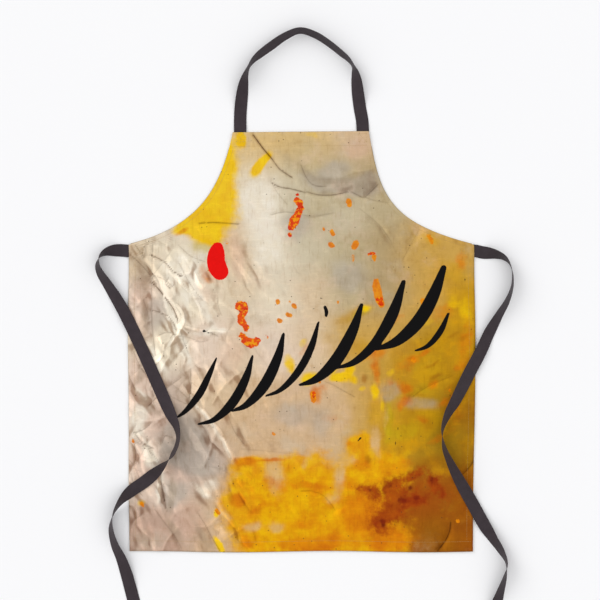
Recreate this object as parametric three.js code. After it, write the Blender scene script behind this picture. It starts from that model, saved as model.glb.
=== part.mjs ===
// A painter's bib apron, lying face up on a table with its neck loop towards +Y.
// Left and right are as the apron is seen from above: left is at -X.
// Units are millimetres, and +Z is up off the table.
// The origin is on the table, under the middle of the apron with its neck loop and without its ties.
import * as THREE from "three";

// Driving dimensions of the cloth.
const APRON_LENGTH = 840;
const BODY_WIDTH = 690;
const BIB_WIDTH = 272;
const ARMHOLE_DROP = 226;
const CLOTH_THICKNESS = 0.8;
const TOP_HEM_DEPTH = 30;
const SIDE_HEM_DEPTH = 14;
const BOTTOM_HEM_DEPTH = 22;
const BINDING_WIDTH = 10;

// How the armhole leaves the bib's corner, and how it runs out to the body's side.
const ARMHOLE_TOP_LEAN = 22;
const ARMHOLE_TOP_REACH = 118;
const ARMHOLE_SIDE_REACH = 160;
const ARMHOLE_SIDE_RISE = 40;
const ARMHOLE_STEPS = 28;

// Webbing of the neck strap and the waist ties.
const STRAP_WIDTH = 25;
const STRAP_THICKNESS = 1;
const STRAP_STEP = 15;
const STRAP_CORNER_INSET = 1;
const NECK_LOOP_RISE = 205.4;
const NECK_SEWN_LENGTH = 25;
const TIE_SEWN_LENGTH = 30;
const END_FOLD_LENGTH = 14;

// Thread.
const THREAD_THICKNESS = 0.3;
const THREAD_WIDTH = 1;
const ROW_INSET = 2;
const TACK_MARGIN = 4;
const TACK_LINE = 1.4;
const NECK_TACK_HEIGHT = 18;
const TIE_TACK_WIDTH = 12;
const TIE_TACK_HEIGHT = 13;

// The space that neighbouring pieces keep, and the space that a strap's fold line needs.
const GAP = 0.3;
const FOLD_GAP = 1.2;
const NECK_FOLD_ABOVE_BIB = 3;

// Heights of the layers, from the table up: hems, sewn strap ends, cloth, thread.
const SEWN_STRAP_REST = CLOTH_THICKNESS + GAP;
const PANEL_BOTTOM = SEWN_STRAP_REST + STRAP_THICKNESS + GAP;
const PANEL_TOP = PANEL_BOTTOM + CLOTH_THICKNESS;
const THREAD_BOTTOM = PANEL_TOP + GAP;

// What a strap rests on along its route.
const ON_TABLE = 0;
const IN_SEAM = SEWN_STRAP_REST;
const ON_PANEL = THREAD_BOTTOM + THREAD_THICKNESS + GAP;

// Places worked out from the sizes.
const HALF_BODY = BODY_WIDTH / 2;
const HALF_BIB = BIB_WIDTH / 2;
const BOTTOM_Y = -(APRON_LENGTH + NECK_LOOP_RISE) / 2;
const BIB_Y = BOTTOM_Y + APRON_LENGTH;
const ARMHOLE_Y = BIB_Y - ARMHOLE_DROP;
const NECK_SEAM_X = HALF_BIB - STRAP_CORNER_INSET - STRAP_WIDTH / 2;
const TIE_SEAM_Y = ARMHOLE_Y - STRAP_WIDTH / 2 - STRAP_CORNER_INSET / 2;
const SIDE_HEM_TOP = ARMHOLE_Y - BINDING_WIDTH - TACK_MARGIN;
const SIDE_HEM_BOTTOM = BOTTOM_Y + BOTTOM_HEM_DEPTH + GAP;

// The neck strap's route, from the left sewn end over the neck to the right one: x, height above the
// bib's edge, what its lower edge rests on, and its roll in degrees. At roll 0 it lies flat, and at
// 90 or -90 it stands on an edge. The points are for seams at x = -NECK_ROUTE_SEAM_X and +NECK_ROUTE_SEAM_X.
const NECK_ROUTE_SEAM_X = 122.5;
const NECK_ROUTE = [
  [-122.5, -NECK_SEWN_LENGTH, IN_SEAM, 0],
  [-122.5, 4, IN_SEAM, 0],
  [-122.5, 28, ON_TABLE, 0],
  [-121, 52, ON_TABLE, -6],
  [-118, 78, ON_TABLE, -24],
  [-115, 97, ON_TABLE, -45],
  [-111, 113, ON_TABLE, -68],
  [-105, 128, ON_TABLE, -82],
  [-96, 141, ON_TABLE, -72],
  [-84, 152, ON_TABLE, -60],
  [-60, 170, ON_TABLE, -54],
  [-32, 189, ON_TABLE, -60],
  [-3, 200, ON_TABLE, -67],
  [28, 191, ON_TABLE, -65],
  [55, 174, ON_TABLE, -66],
  [79, 155, ON_TABLE, -68],
  [93, 143, ON_TABLE, -75],
  [102, 131, ON_TABLE, -82],
  [107, 116, ON_TABLE, -57],
  [110, 99, ON_TABLE, -34],
  [113, 74, ON_TABLE, -14],
  [117, 46, ON_TABLE, 0],
  [121, 24, ON_TABLE, 0],
  [122.5, 4, IN_SEAM, 0],
  [122.5, -NECK_SEWN_LENGTH, IN_SEAM, 0],
];

// The ties' routes, from the sewn end outwards: distance out from the body's side, distance along Y
// from the seam, what the lower edge rests on, and roll in degrees.
const LEFT_TIE_ROUTE = [
  [-TIE_SEWN_LENGTH, 0, IN_SEAM, 0],
  [2, 0, IN_SEAM, 0],
  [18, 1, ON_TABLE, 4],
  [33, 0, ON_TABLE, 30],
  [47, -4, ON_TABLE, 60],
  [58, -13, ON_TABLE, 90],
  [62, -28, ON_TABLE, 115],
  [57, -44, ON_TABLE, 130],
  [41, -69, ON_TABLE, 145],
  [16, -110, ON_PANEL, 168],
  [-13, -168, ON_PANEL, 180],
  [-40, -227, ON_PANEL, 180],
  [-66, -286, ON_PANEL, 180],
  [-84, -326, ON_PANEL, 156],
  [-96, -352, ON_PANEL, 125],
  [-99, -375, ON_PANEL, 110],
  [-89, -404, ON_PANEL, 109],
  [-67, -430, ON_PANEL, 57],
  [-32, -461, ON_PANEL, 0],
  [-6, -479, ON_PANEL, 16],
  [16, -501, ON_PANEL, 62],
  [31, -528, ON_TABLE, 90],
  [35, -555, ON_TABLE, 116],
  [28, -586, ON_TABLE, 133],
  [15, -615, ON_TABLE, 150],
  [5, -645, ON_TABLE, 168],
  [-7, -690, ON_TABLE, 180],
  [-20, -742, ON_TABLE, 180],
  [-32, -795, ON_TABLE, 180],
];
const RIGHT_TIE_ROUTE = [
  [-TIE_SEWN_LENGTH, 0, IN_SEAM, 0],
  [2, 0, IN_SEAM, 0],
  [16, -3, ON_TABLE, 0],
  [31, -5, ON_TABLE, -28],
  [45, -8, ON_TABLE, -50],
  [59, -14, ON_TABLE, -70],
  [70, -26, ON_TABLE, -90],
  [76, -47, ON_TABLE, -100],
  [75, -72, ON_TABLE, -107],
  [65, -101, ON_TABLE, -120],
  [49, -129, ON_TABLE, -135],
  [30, -164, ON_TABLE, -158],
  [13, -201, ON_PANEL, -168],
  [-9, -243, ON_PANEL, -174],
  [-37, -298, ON_PANEL, -155],
  [-54, -328, ON_PANEL, -130],
  [-64, -358, ON_PANEL, -105],
  [-61, -391, ON_PANEL, -75],
  [-49, -421, ON_PANEL, -56],
  [-29, -460, ON_PANEL, -28],
  [-5, -502, ON_PANEL, 0],
  [18, -544, ON_PANEL, -8],
  [36, -573, ON_TABLE, -42],
  [53, -599, ON_TABLE, -60],
  [64, -624, ON_TABLE, -86],
  [61, -649, ON_TABLE, -112],
  [51, -684, ON_TABLE, -138],
  [40, -722, ON_TABLE, -172],
  [33, -758, ON_TABLE, -180],
  [25, -795, ON_TABLE, -180],
];
// Where along each tie, in its first bend, the strap stands on edge and the free run swings from.
const LEFT_SWING_POINT = 5;
const RIGHT_SWING_POINT = 6;

const PRINTED_CLOTH = { color: 0xd2bf98, roughness: 0.85, metalness: 0 };
const TURNED_CLOTH = { color: 0xc9b88f, roughness: 0.9, metalness: 0 };
const BIAS_TAPE = { color: 0xbba97f, roughness: 0.9, metalness: 0 };
const DARK_WEBBING = { color: 0x32272d, roughness: 0.75, metalness: 0 };
const DARK_THREAD = { color: 0x2a2226, roughness: 0.6, metalness: 0 };
const CLOTH_THREAD = { color: 0xc4b286, roughness: 0.6, metalness: 0 };

const apron = new THREE.Group();

function addPiece(name, geometry, finish) {
  const mesh = new THREE.Mesh(geometry, new THREE.MeshStandardMaterial(finish));
  mesh.name = name;
  apron.add(mesh);
}

// A flat piece cut to a shape, with its underside at a height above the table.
function flatPiece(shape, bottom, thickness) {
  const geometry = new THREE.ExtrudeGeometry(shape, { depth: thickness, bevelEnabled: false });
  return geometry.translate(0, 0, bottom);
}

function rectangle(xMin, yMin, xMax, yMax) {
  const corners = [
    new THREE.Vector2(xMin, yMin),
    new THREE.Vector2(xMax, yMin),
    new THREE.Vector2(xMax, yMax),
    new THREE.Vector2(xMin, yMax),
  ];
  return new THREE.Shape(corners);
}

// The armhole's edge from the bib's corner to the body's side, on the side that the sign gives.
function armholeEdge(side) {
  const curve = new THREE.CubicBezierCurve(
    new THREE.Vector2(side * HALF_BIB, BIB_Y),
    new THREE.Vector2(side * (HALF_BIB + ARMHOLE_TOP_LEAN), BIB_Y - ARMHOLE_TOP_REACH),
    new THREE.Vector2(side * (HALF_BODY - ARMHOLE_SIDE_REACH), ARMHOLE_Y + ARMHOLE_SIDE_RISE),
    new THREE.Vector2(side * HALF_BODY, ARMHOLE_Y),
  );
  return curve.getSpacedPoints(ARMHOLE_STEPS);
}

function panelShape() {
  const leftEdge = armholeEdge(-1);
  const rightEdge = armholeEdge(1).reverse();
  const corners = [new THREE.Vector2(-HALF_BODY, BOTTOM_Y), new THREE.Vector2(HALF_BODY, BOTTOM_Y)];
  return new THREE.Shape([...corners, ...rightEdge, ...leftEdge]);
}

// A band that follows the armhole below the top hem, between two distances in from the edge.
function armholeBand(side, near, far) {
  const edge = armholeEdge(side).filter((point) => point.y < BIB_Y - TOP_HEM_DEPTH - GAP);
  const inward = (distance) =>
    edge.map((point, i) => {
      const before = edge[Math.max(i - 1, 0)];
      const after = edge[Math.min(i + 1, edge.length - 1)];
      const along = after.clone().sub(before).normalize();
      return new THREE.Vector2(point.x + side * along.y * distance, point.y - side * along.x * distance);
    });
  return new THREE.Shape([...inward(near), ...inward(far).reverse()]);
}

// A box of stitching with a cross in it: the outline and the cross are one piece of thread work.
function crossedBox(centreX, centreY, width, height) {
  const halfWidth = width / 2;
  const halfHeight = height / 2;
  const shape = rectangle(
    centreX - halfWidth,
    centreY - halfHeight,
    centreX + halfWidth,
    centreY + halfHeight,
  );
  const innerX = halfWidth - TACK_LINE;
  const innerY = halfHeight - TACK_LINE;
  const openings = [
    [1, 0],
    [0, 1],
    [-1, 0],
    [0, -1],
  ];
  for (const [towardsX, towardsY] of openings) {
    const tip = new THREE.Vector2(centreX + towardsX * TACK_LINE, centreY + towardsY * TACK_LINE);
    const spread = 1 - TACK_LINE / Math.min(innerX, innerY);
    const cornerX = towardsX ? towardsX * innerX : innerX * spread;
    const cornerY = towardsY ? towardsY * innerY : innerY * spread;
    const first = new THREE.Vector2(centreX + cornerX, centreY + cornerY);
    const mirroredX = towardsX ? cornerX : -cornerX;
    const mirroredY = towardsY ? cornerY : -cornerY;
    const second = new THREE.Vector2(centreX + mirroredX, centreY + mirroredY);
    shape.holes.push(new THREE.Path([tip, first, second, tip.clone()]));
  }
  return shape;
}

// The corners of a strap's section: across its width, then through its thickness.
const SECTION_CORNERS = [
  [-1, -1],
  [1, -1],
  [1, 1],
  [-1, 1],
];

// A strap's route: its path in plan, and how it rests and rolls along the same points.
class StrapRoute {
  constructor(points) {
    const plan = points.map(([x, y]) => new THREE.Vector3(x, y, 0));
    const lie = points.map(([, , rest, roll]) => new THREE.Vector3(rest, roll, 0));
    this.plan = new THREE.CatmullRomCurve3(plan, false, "centripetal");
    this.plan.arcLengthDivisions = 2000;
    this.lie = new THREE.CatmullRomCurve3(lie, false, "centripetal");
    this.length = this.plan.getLength();
    this.lastPoint = points.length - 1;
  }

  // The distance along the route at one of its points.
  distanceTo(point) {
    const lengths = this.plan.getLengths();
    return lengths[Math.round((point / this.lastPoint) * (lengths.length - 1))];
  }

  // The strap's centre and its directions across and through, at a distance along the route.
  sectionAt(distance) {
    const share = this.plan.getUtoTmapping(0, THREE.MathUtils.clamp(distance, 0, this.length));
    const centre = this.plan.getPoint(share);
    const heading = this.plan.getTangent(share);
    const lie = this.lie.getPoint(share);
    const roll = THREE.MathUtils.degToRad(lie.y);
    const right = new THREE.Vector3(heading.y, -heading.x, 0);
    const across = right.multiplyScalar(Math.cos(roll));
    across.z = Math.sin(roll);
    const through = new THREE.Vector3().crossVectors(heading, across);
    const halfHeight =
      (STRAP_WIDTH / 2) * Math.abs(Math.sin(roll)) + (STRAP_THICKNESS / 2) * Math.abs(Math.cos(roll));
    centre.z = Math.max(lie.x, 0) + halfHeight;
    return { centre, across, through };
  }

  // A length of strap between two distances: thin rectangular sections, skinned over and capped.
  piece(from, to, width = STRAP_WIDTH, thickness = STRAP_THICKNESS, rise = 0) {
    const steps = Math.max(1, Math.round((to - from) / STRAP_STEP));
    const points = [];
    for (let step = 0; step <= steps; step += 1) {
      const { centre, across, through } = this.sectionAt(from + ((to - from) * step) / steps);
      centre.z += rise;
      for (const [side, face] of SECTION_CORNERS) {
        const corner = centre.clone().addScaledVector(across, (side * width) / 2);
        points.push(corner.addScaledVector(through, (face * thickness) / 2));
      }
    }
    const geometry = new THREE.BufferGeometry().setFromPoints(points);
    return geometry.setIndex(skinnedFaces(steps));
  }
}

// The triangles over a row of four-cornered sections. The two wide faces are split along the same
// diagonal, so that they stay parallel where the strap twists.
function skinnedFaces(steps) {
  const faces = [0, 2, 1, 0, 3, 2];
  for (let step = 0; step < steps; step += 1) {
    const [a0, a1, a2, a3] = [0, 1, 2, 3].map((corner) => 4 * step + corner);
    const [b0, b1, b2, b3] = [4, 5, 6, 7].map((corner) => 4 * step + corner);
    faces.push(a0, a1, b1, a0, b1, b0);
    faces.push(a1, a2, b2, a1, b2, b1);
    faces.push(a2, a3, b2, a3, b3, b2);
    faces.push(a3, a0, b0, a3, b0, b3);
  }
  const end = 4 * steps;
  faces.push(end, end + 1, end + 2, end, end + 2, end + 3);
  return faces;
}

function addPanelAndHems() {
  addPiece("front_panel", flatPiece(panelShape(), PANEL_BOTTOM, CLOTH_THICKNESS), PRINTED_CLOTH);
  const topHem = rectangle(-HALF_BIB, BIB_Y - TOP_HEM_DEPTH, HALF_BIB, BIB_Y);
  addPiece("top_hem", flatPiece(topHem, 0, CLOTH_THICKNESS), TURNED_CLOTH);
  const bottomHem = rectangle(-HALF_BODY, BOTTOM_Y, HALF_BODY, BOTTOM_Y + BOTTOM_HEM_DEPTH);
  addPiece("bottom_hem", flatPiece(bottomHem, 0, CLOTH_THICKNESS), TURNED_CLOTH);
  const hemInnerX = HALF_BODY - SIDE_HEM_DEPTH;
  const leftHem = rectangle(-HALF_BODY, SIDE_HEM_BOTTOM, -hemInnerX, SIDE_HEM_TOP);
  addPiece("left_side_hem", flatPiece(leftHem, 0, CLOTH_THICKNESS), TURNED_CLOTH);
  const rightHem = rectangle(hemInnerX, SIDE_HEM_BOTTOM, HALF_BODY, SIDE_HEM_TOP);
  addPiece("right_side_hem", flatPiece(rightHem, 0, CLOTH_THICKNESS), TURNED_CLOTH);
}

function addArmhole(side, name) {
  const binding = armholeBand(side, 0, BINDING_WIDTH);
  addPiece(`${name}_armhole_binding`, flatPiece(binding, 0, CLOTH_THICKNESS), BIAS_TAPE);
  const rowCentre = BINDING_WIDTH - ROW_INSET;
  const row = armholeBand(side, rowCentre - THREAD_WIDTH / 2, rowCentre + THREAD_WIDTH / 2);
  addPiece(`${name}_armhole_stitching`, flatPiece(row, THREAD_BOTTOM, THREAD_THICKNESS), CLOTH_THREAD);
}

function addHemStitching() {
  const endX = HALF_BODY - ROW_INSET;
  const topY = BIB_Y - TOP_HEM_DEPTH + ROW_INSET;
  const topRow = rectangle(ROW_INSET - HALF_BIB, topY, HALF_BIB - ROW_INSET, topY + THREAD_WIDTH);
  addPiece("top_hem_stitching", flatPiece(topRow, THREAD_BOTTOM, THREAD_THICKNESS), CLOTH_THREAD);
  const bottomY = BOTTOM_Y + BOTTOM_HEM_DEPTH - ROW_INSET;
  const bottomRow = rectangle(-endX, bottomY - THREAD_WIDTH, endX, bottomY);
  addPiece("bottom_hem_stitching", flatPiece(bottomRow, THREAD_BOTTOM, THREAD_THICKNESS), CLOTH_THREAD);
  const sideX = HALF_BODY - SIDE_HEM_DEPTH + ROW_INSET;
  const leftRow = rectangle(-sideX - THREAD_WIDTH, SIDE_HEM_BOTTOM, -sideX, SIDE_HEM_TOP);
  addPiece("left_side_stitching", flatPiece(leftRow, THREAD_BOTTOM, THREAD_THICKNESS), CLOTH_THREAD);
  const rightRow = rectangle(sideX, SIDE_HEM_BOTTOM, sideX + THREAD_WIDTH, SIDE_HEM_TOP);
  addPiece("right_side_stitching", flatPiece(rightRow, THREAD_BOTTOM, THREAD_THICKNESS), CLOTH_THREAD);
}

// The neck strap: its two sewn ends stay with the bib, and the loop folds on a line just above it.
function addNeckStrap() {
  const stretch = NECK_SEAM_X / NECK_ROUTE_SEAM_X;
  const route = new StrapRoute(
    NECK_ROUTE.map(([x, rise, rest, roll]) => [x * stretch, BIB_Y + rise, rest, roll]),
  );
  const fold = NECK_SEWN_LENGTH + NECK_FOLD_ABOVE_BIB;
  const sewnEnd = fold - FOLD_GAP / 2;
  const loopStart = fold + FOLD_GAP / 2;
  addPiece("neck_strap_left_end", route.piece(0, sewnEnd), DARK_WEBBING);
  addPiece("neck_strap", route.piece(loopStart, route.length - loopStart), DARK_WEBBING);
  addPiece("neck_strap_right_end", route.piece(route.length - sewnEnd, route.length), DARK_WEBBING);
}

function addNeckTack(side, name) {
  const centreY = BIB_Y - TACK_MARGIN - NECK_TACK_HEIGHT / 2;
  const width = STRAP_WIDTH - 2 * TACK_MARGIN;
  const shape = crossedBox(side * NECK_SEAM_X, centreY, width, NECK_TACK_HEIGHT);
  addPiece(`${name}_neck_tack`, flatPiece(shape, THREAD_BOTTOM, THREAD_THICKNESS), CLOTH_THREAD);
}

// A waist tie: its sewn end reaches out to the first bend, and the free run swings from there.
function addWaistTie(side, name, points, swingPoint) {
  const route = new StrapRoute(
    points.map(([out, along, rest, roll]) => [side * (HALF_BODY + out), TIE_SEAM_Y + along, rest, roll]),
  );
  const swing = route.distanceTo(swingPoint);
  const foldStart = route.length - END_FOLD_LENGTH;
  const foldRise = STRAP_THICKNESS + GAP;
  const tackRise = foldRise + (STRAP_THICKNESS + THREAD_THICKNESS) / 2 + GAP;
  const tackWidth = STRAP_WIDTH - TACK_MARGIN;
  const tackEnd = route.length - TACK_MARGIN;
  addPiece(`${name}_waist_tie_sewn_end`, route.piece(0, swing - FOLD_GAP / 2), DARK_WEBBING);
  addPiece(`${name}_waist_tie`, route.piece(swing + FOLD_GAP / 2, route.length), DARK_WEBBING);
  const fold = route.piece(foldStart, route.length, STRAP_WIDTH, STRAP_THICKNESS, foldRise);
  addPiece(`${name}_tie_end_fold`, fold, DARK_WEBBING);
  const tack = route.piece(tackEnd - 2 * THREAD_WIDTH, tackEnd, tackWidth, THREAD_THICKNESS, tackRise);
  addPiece(`${name}_tie_end_tack`, tack, DARK_THREAD);
}

function addTieTack(side, name) {
  const centreX = side * (HALF_BODY - TIE_SEWN_LENGTH + ROW_INSET + TIE_TACK_WIDTH / 2);
  const shape = crossedBox(centreX, TIE_SEAM_Y, TIE_TACK_WIDTH, TIE_TACK_HEIGHT);
  addPiece(`${name}_waist_tack`, flatPiece(shape, THREAD_BOTTOM, THREAD_THICKNESS), CLOTH_THREAD);
}

addPanelAndHems();
addHemStitching();
addNeckStrap();
for (const [side, name] of [
  [-1, "left"],
  [1, "right"],
]) {
  addArmhole(side, name);
  addNeckTack(side, name);
  addTieTack(side, name);
}
addWaistTie(-1, "left", LEFT_TIE_ROUTE, LEFT_SWING_POINT);
addWaistTie(1, "right", RIGHT_TIE_ROUTE, RIGHT_SWING_POINT);

export default apron;
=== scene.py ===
"""A painter's bib apron, lying face up on a table: printed cloth, hems, bindings, webbing and thread."""

from __future__ import annotations

import logging
import math
from collections.abc import Sequence
from dataclasses import dataclass, field, replace
from enum import Enum

import bmesh
import bpy
import numpy as np
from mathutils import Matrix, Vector, noise


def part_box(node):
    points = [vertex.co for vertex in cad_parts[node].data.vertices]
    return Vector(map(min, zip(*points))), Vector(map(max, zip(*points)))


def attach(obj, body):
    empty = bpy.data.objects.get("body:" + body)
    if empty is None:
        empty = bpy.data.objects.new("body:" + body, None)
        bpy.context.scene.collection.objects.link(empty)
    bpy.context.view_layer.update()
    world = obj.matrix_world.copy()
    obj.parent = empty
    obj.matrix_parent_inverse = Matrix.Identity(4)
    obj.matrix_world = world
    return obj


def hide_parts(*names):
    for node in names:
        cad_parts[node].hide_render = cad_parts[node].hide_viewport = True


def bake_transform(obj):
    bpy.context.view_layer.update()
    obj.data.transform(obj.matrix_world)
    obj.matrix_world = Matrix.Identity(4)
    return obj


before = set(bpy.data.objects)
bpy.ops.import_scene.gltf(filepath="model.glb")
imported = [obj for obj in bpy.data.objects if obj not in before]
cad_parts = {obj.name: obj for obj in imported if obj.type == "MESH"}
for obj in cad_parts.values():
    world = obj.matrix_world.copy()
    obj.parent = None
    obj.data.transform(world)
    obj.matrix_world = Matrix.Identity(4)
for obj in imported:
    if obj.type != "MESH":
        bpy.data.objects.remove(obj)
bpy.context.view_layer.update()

LOG = logging.getLogger("apron")
PATTERN_MAP = "pattern"
MM = 0.001

Array = np.ndarray
Point = tuple[float, float]
Rows = tuple[tuple[float, ...], ...]


class Side(Enum):
    """Which half of the apron a piece is on, as seen from above: its value is the sign of x."""

    LEFT = -1
    RIGHT = 1

    @property
    def word(self) -> str:
        """The side's name as it stands in the names of the pieces."""
        return self.name.lower()


class Body(Enum):
    """The bodies that the pieces ride on."""

    APRON = "apron"
    NECK_LOOP = "neck_loop"
    LEFT_TIE = "left_tie"
    RIGHT_TIE = "right_tie"


class Slot(Enum):
    """The finishes that the pieces take."""

    PRINTED_CLOTH = "printed_cloth"
    TURNED_CLOTH = "turned_cloth"
    BIAS_TAPE = "bias_tape"
    WEBBING = "webbing"
    DARK_THREAD = "dark_thread"
    CLOTH_THREAD = "cloth_thread"


# --- Small tools for numbers ---


def linear(code: str) -> tuple[float, float, float, float]:
    """Turns a display colour, such as "#d2bf98", into the linear colour that a shader takes.

    Args:
        code: The colour as six hexadecimal digits after a hash sign.

    Returns:
        Red, green, blue and an alpha of one.
    """
    shown = [int(code[i : i + 2], 16) / 255 for i in (1, 3, 5)]
    red, green, blue = (s / 12.92 if s <= 0.04045 else ((s + 0.055) / 1.055) ** 2.4 for s in shown)
    return red, green, blue, 1.0


def smooth_step(low: float, high: float, value: Array) -> Array:
    """Rises smoothly from 0 at low to 1 at high."""
    share = np.clip((value - low) / (high - low), 0.0, 1.0)
    return share * share * (3 - 2 * share)


def fractal(points: Array, size: float, octaves: int, seed: float) -> Array:
    """Smooth seeded noise over the plane, for shapes that no one places by hand.

    Args:
        points: One row of x and y per place, in metres.
        size: The size of the largest features, in metres.
        octaves: How many times finer detail is added.
        seed: A number that picks the pattern.

    Returns:
        One value per place, mostly between -1 and 1.
    """
    spots = [Vector((x / size, y / size, seed)) for x, y in points]
    return np.array([noise.fractal(spot, 1.0, 2.0, octaves) for spot in spots])


def catmull_rom(points: Array, steps: int) -> Array:
    """Runs a centripetal Catmull-Rom curve through points.

    Args:
        points: One row per point.
        steps: How many samples each span gets.

    Returns:
        The samples, with the last point at the end.
    """
    ends = np.vstack([2 * points[0] - points[1], points, 2 * points[-1] - points[-2]])
    share = np.linspace(0, 1, steps, endpoint=False)[:, None]
    samples = []
    for before, start, end, after in zip(ends, ends[1:], ends[2:], ends[3:]):
        middle = math.sqrt(np.linalg.norm(end - start)) or 1.0
        first = math.sqrt(np.linalg.norm(start - before)) or middle
        last = math.sqrt(np.linalg.norm(after - end)) or middle
        leave = (start - before) / first - (end - before) / (first + middle)
        leave = (leave + (end - start) / middle) * middle
        arrive = (end - start) / middle - (after - start) / (middle + last)
        arrive = (arrive + (after - end) / last) * middle
        square = 3 * (end - start) - 2 * leave - arrive
        cube = 2 * (start - end) + leave + arrive
        samples.append(start + share * leave + share**2 * square + share**3 * cube)
    return np.vstack([*samples, points[-1:]])


# --- Shader maths ---


class Signal:
    """A node's output, whose arithmetic adds Math nodes to the same material."""

    def __init__(self, graph: MaterialGraph, socket: bpy.types.NodeSocket) -> None:
        """Wraps a socket of a graph."""
        self.graph = graph
        self.socket = socket

    def _math(self, operation: str, *terms: Signal | float) -> Signal:
        """Adds one Math node that works on the terms."""
        return self.graph.node("ShaderNodeMath", {"operation": operation}, dict(enumerate(terms)))

    def __add__(self, other: Signal | float) -> Signal:
        """Adds a signal or a number."""
        return self._math("ADD", self, other)

    __radd__ = __add__

    def __sub__(self, other: Signal | float) -> Signal:
        """Takes a signal or a number away."""
        return self._math("SUBTRACT", self, other)

    def __rsub__(self, other: float) -> Signal:
        """Takes the signal away from a number."""
        return self._math("SUBTRACT", other, self)

    def __mul__(self, other: Signal | float) -> Signal:
        """Multiplies by a signal or a number."""
        return self._math("MULTIPLY", self, other)

    __rmul__ = __mul__

    def sine(self) -> Signal:
        """The sine of an angle in radians."""
        return self._math("SINE", self)

    def size(self) -> Signal:
        """The signal without its sign."""
        return self._math("ABSOLUTE", self)

    def rise(self, low: float, high: float) -> Signal:
        """Rises smoothly from 0 where the signal is at low to 1 where it is at high."""
        settings = {"interpolation_type": "SMOOTHSTEP"}
        return self.graph.node("ShaderNodeMapRange", settings, {0: self, 1: low, 2: high})


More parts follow.
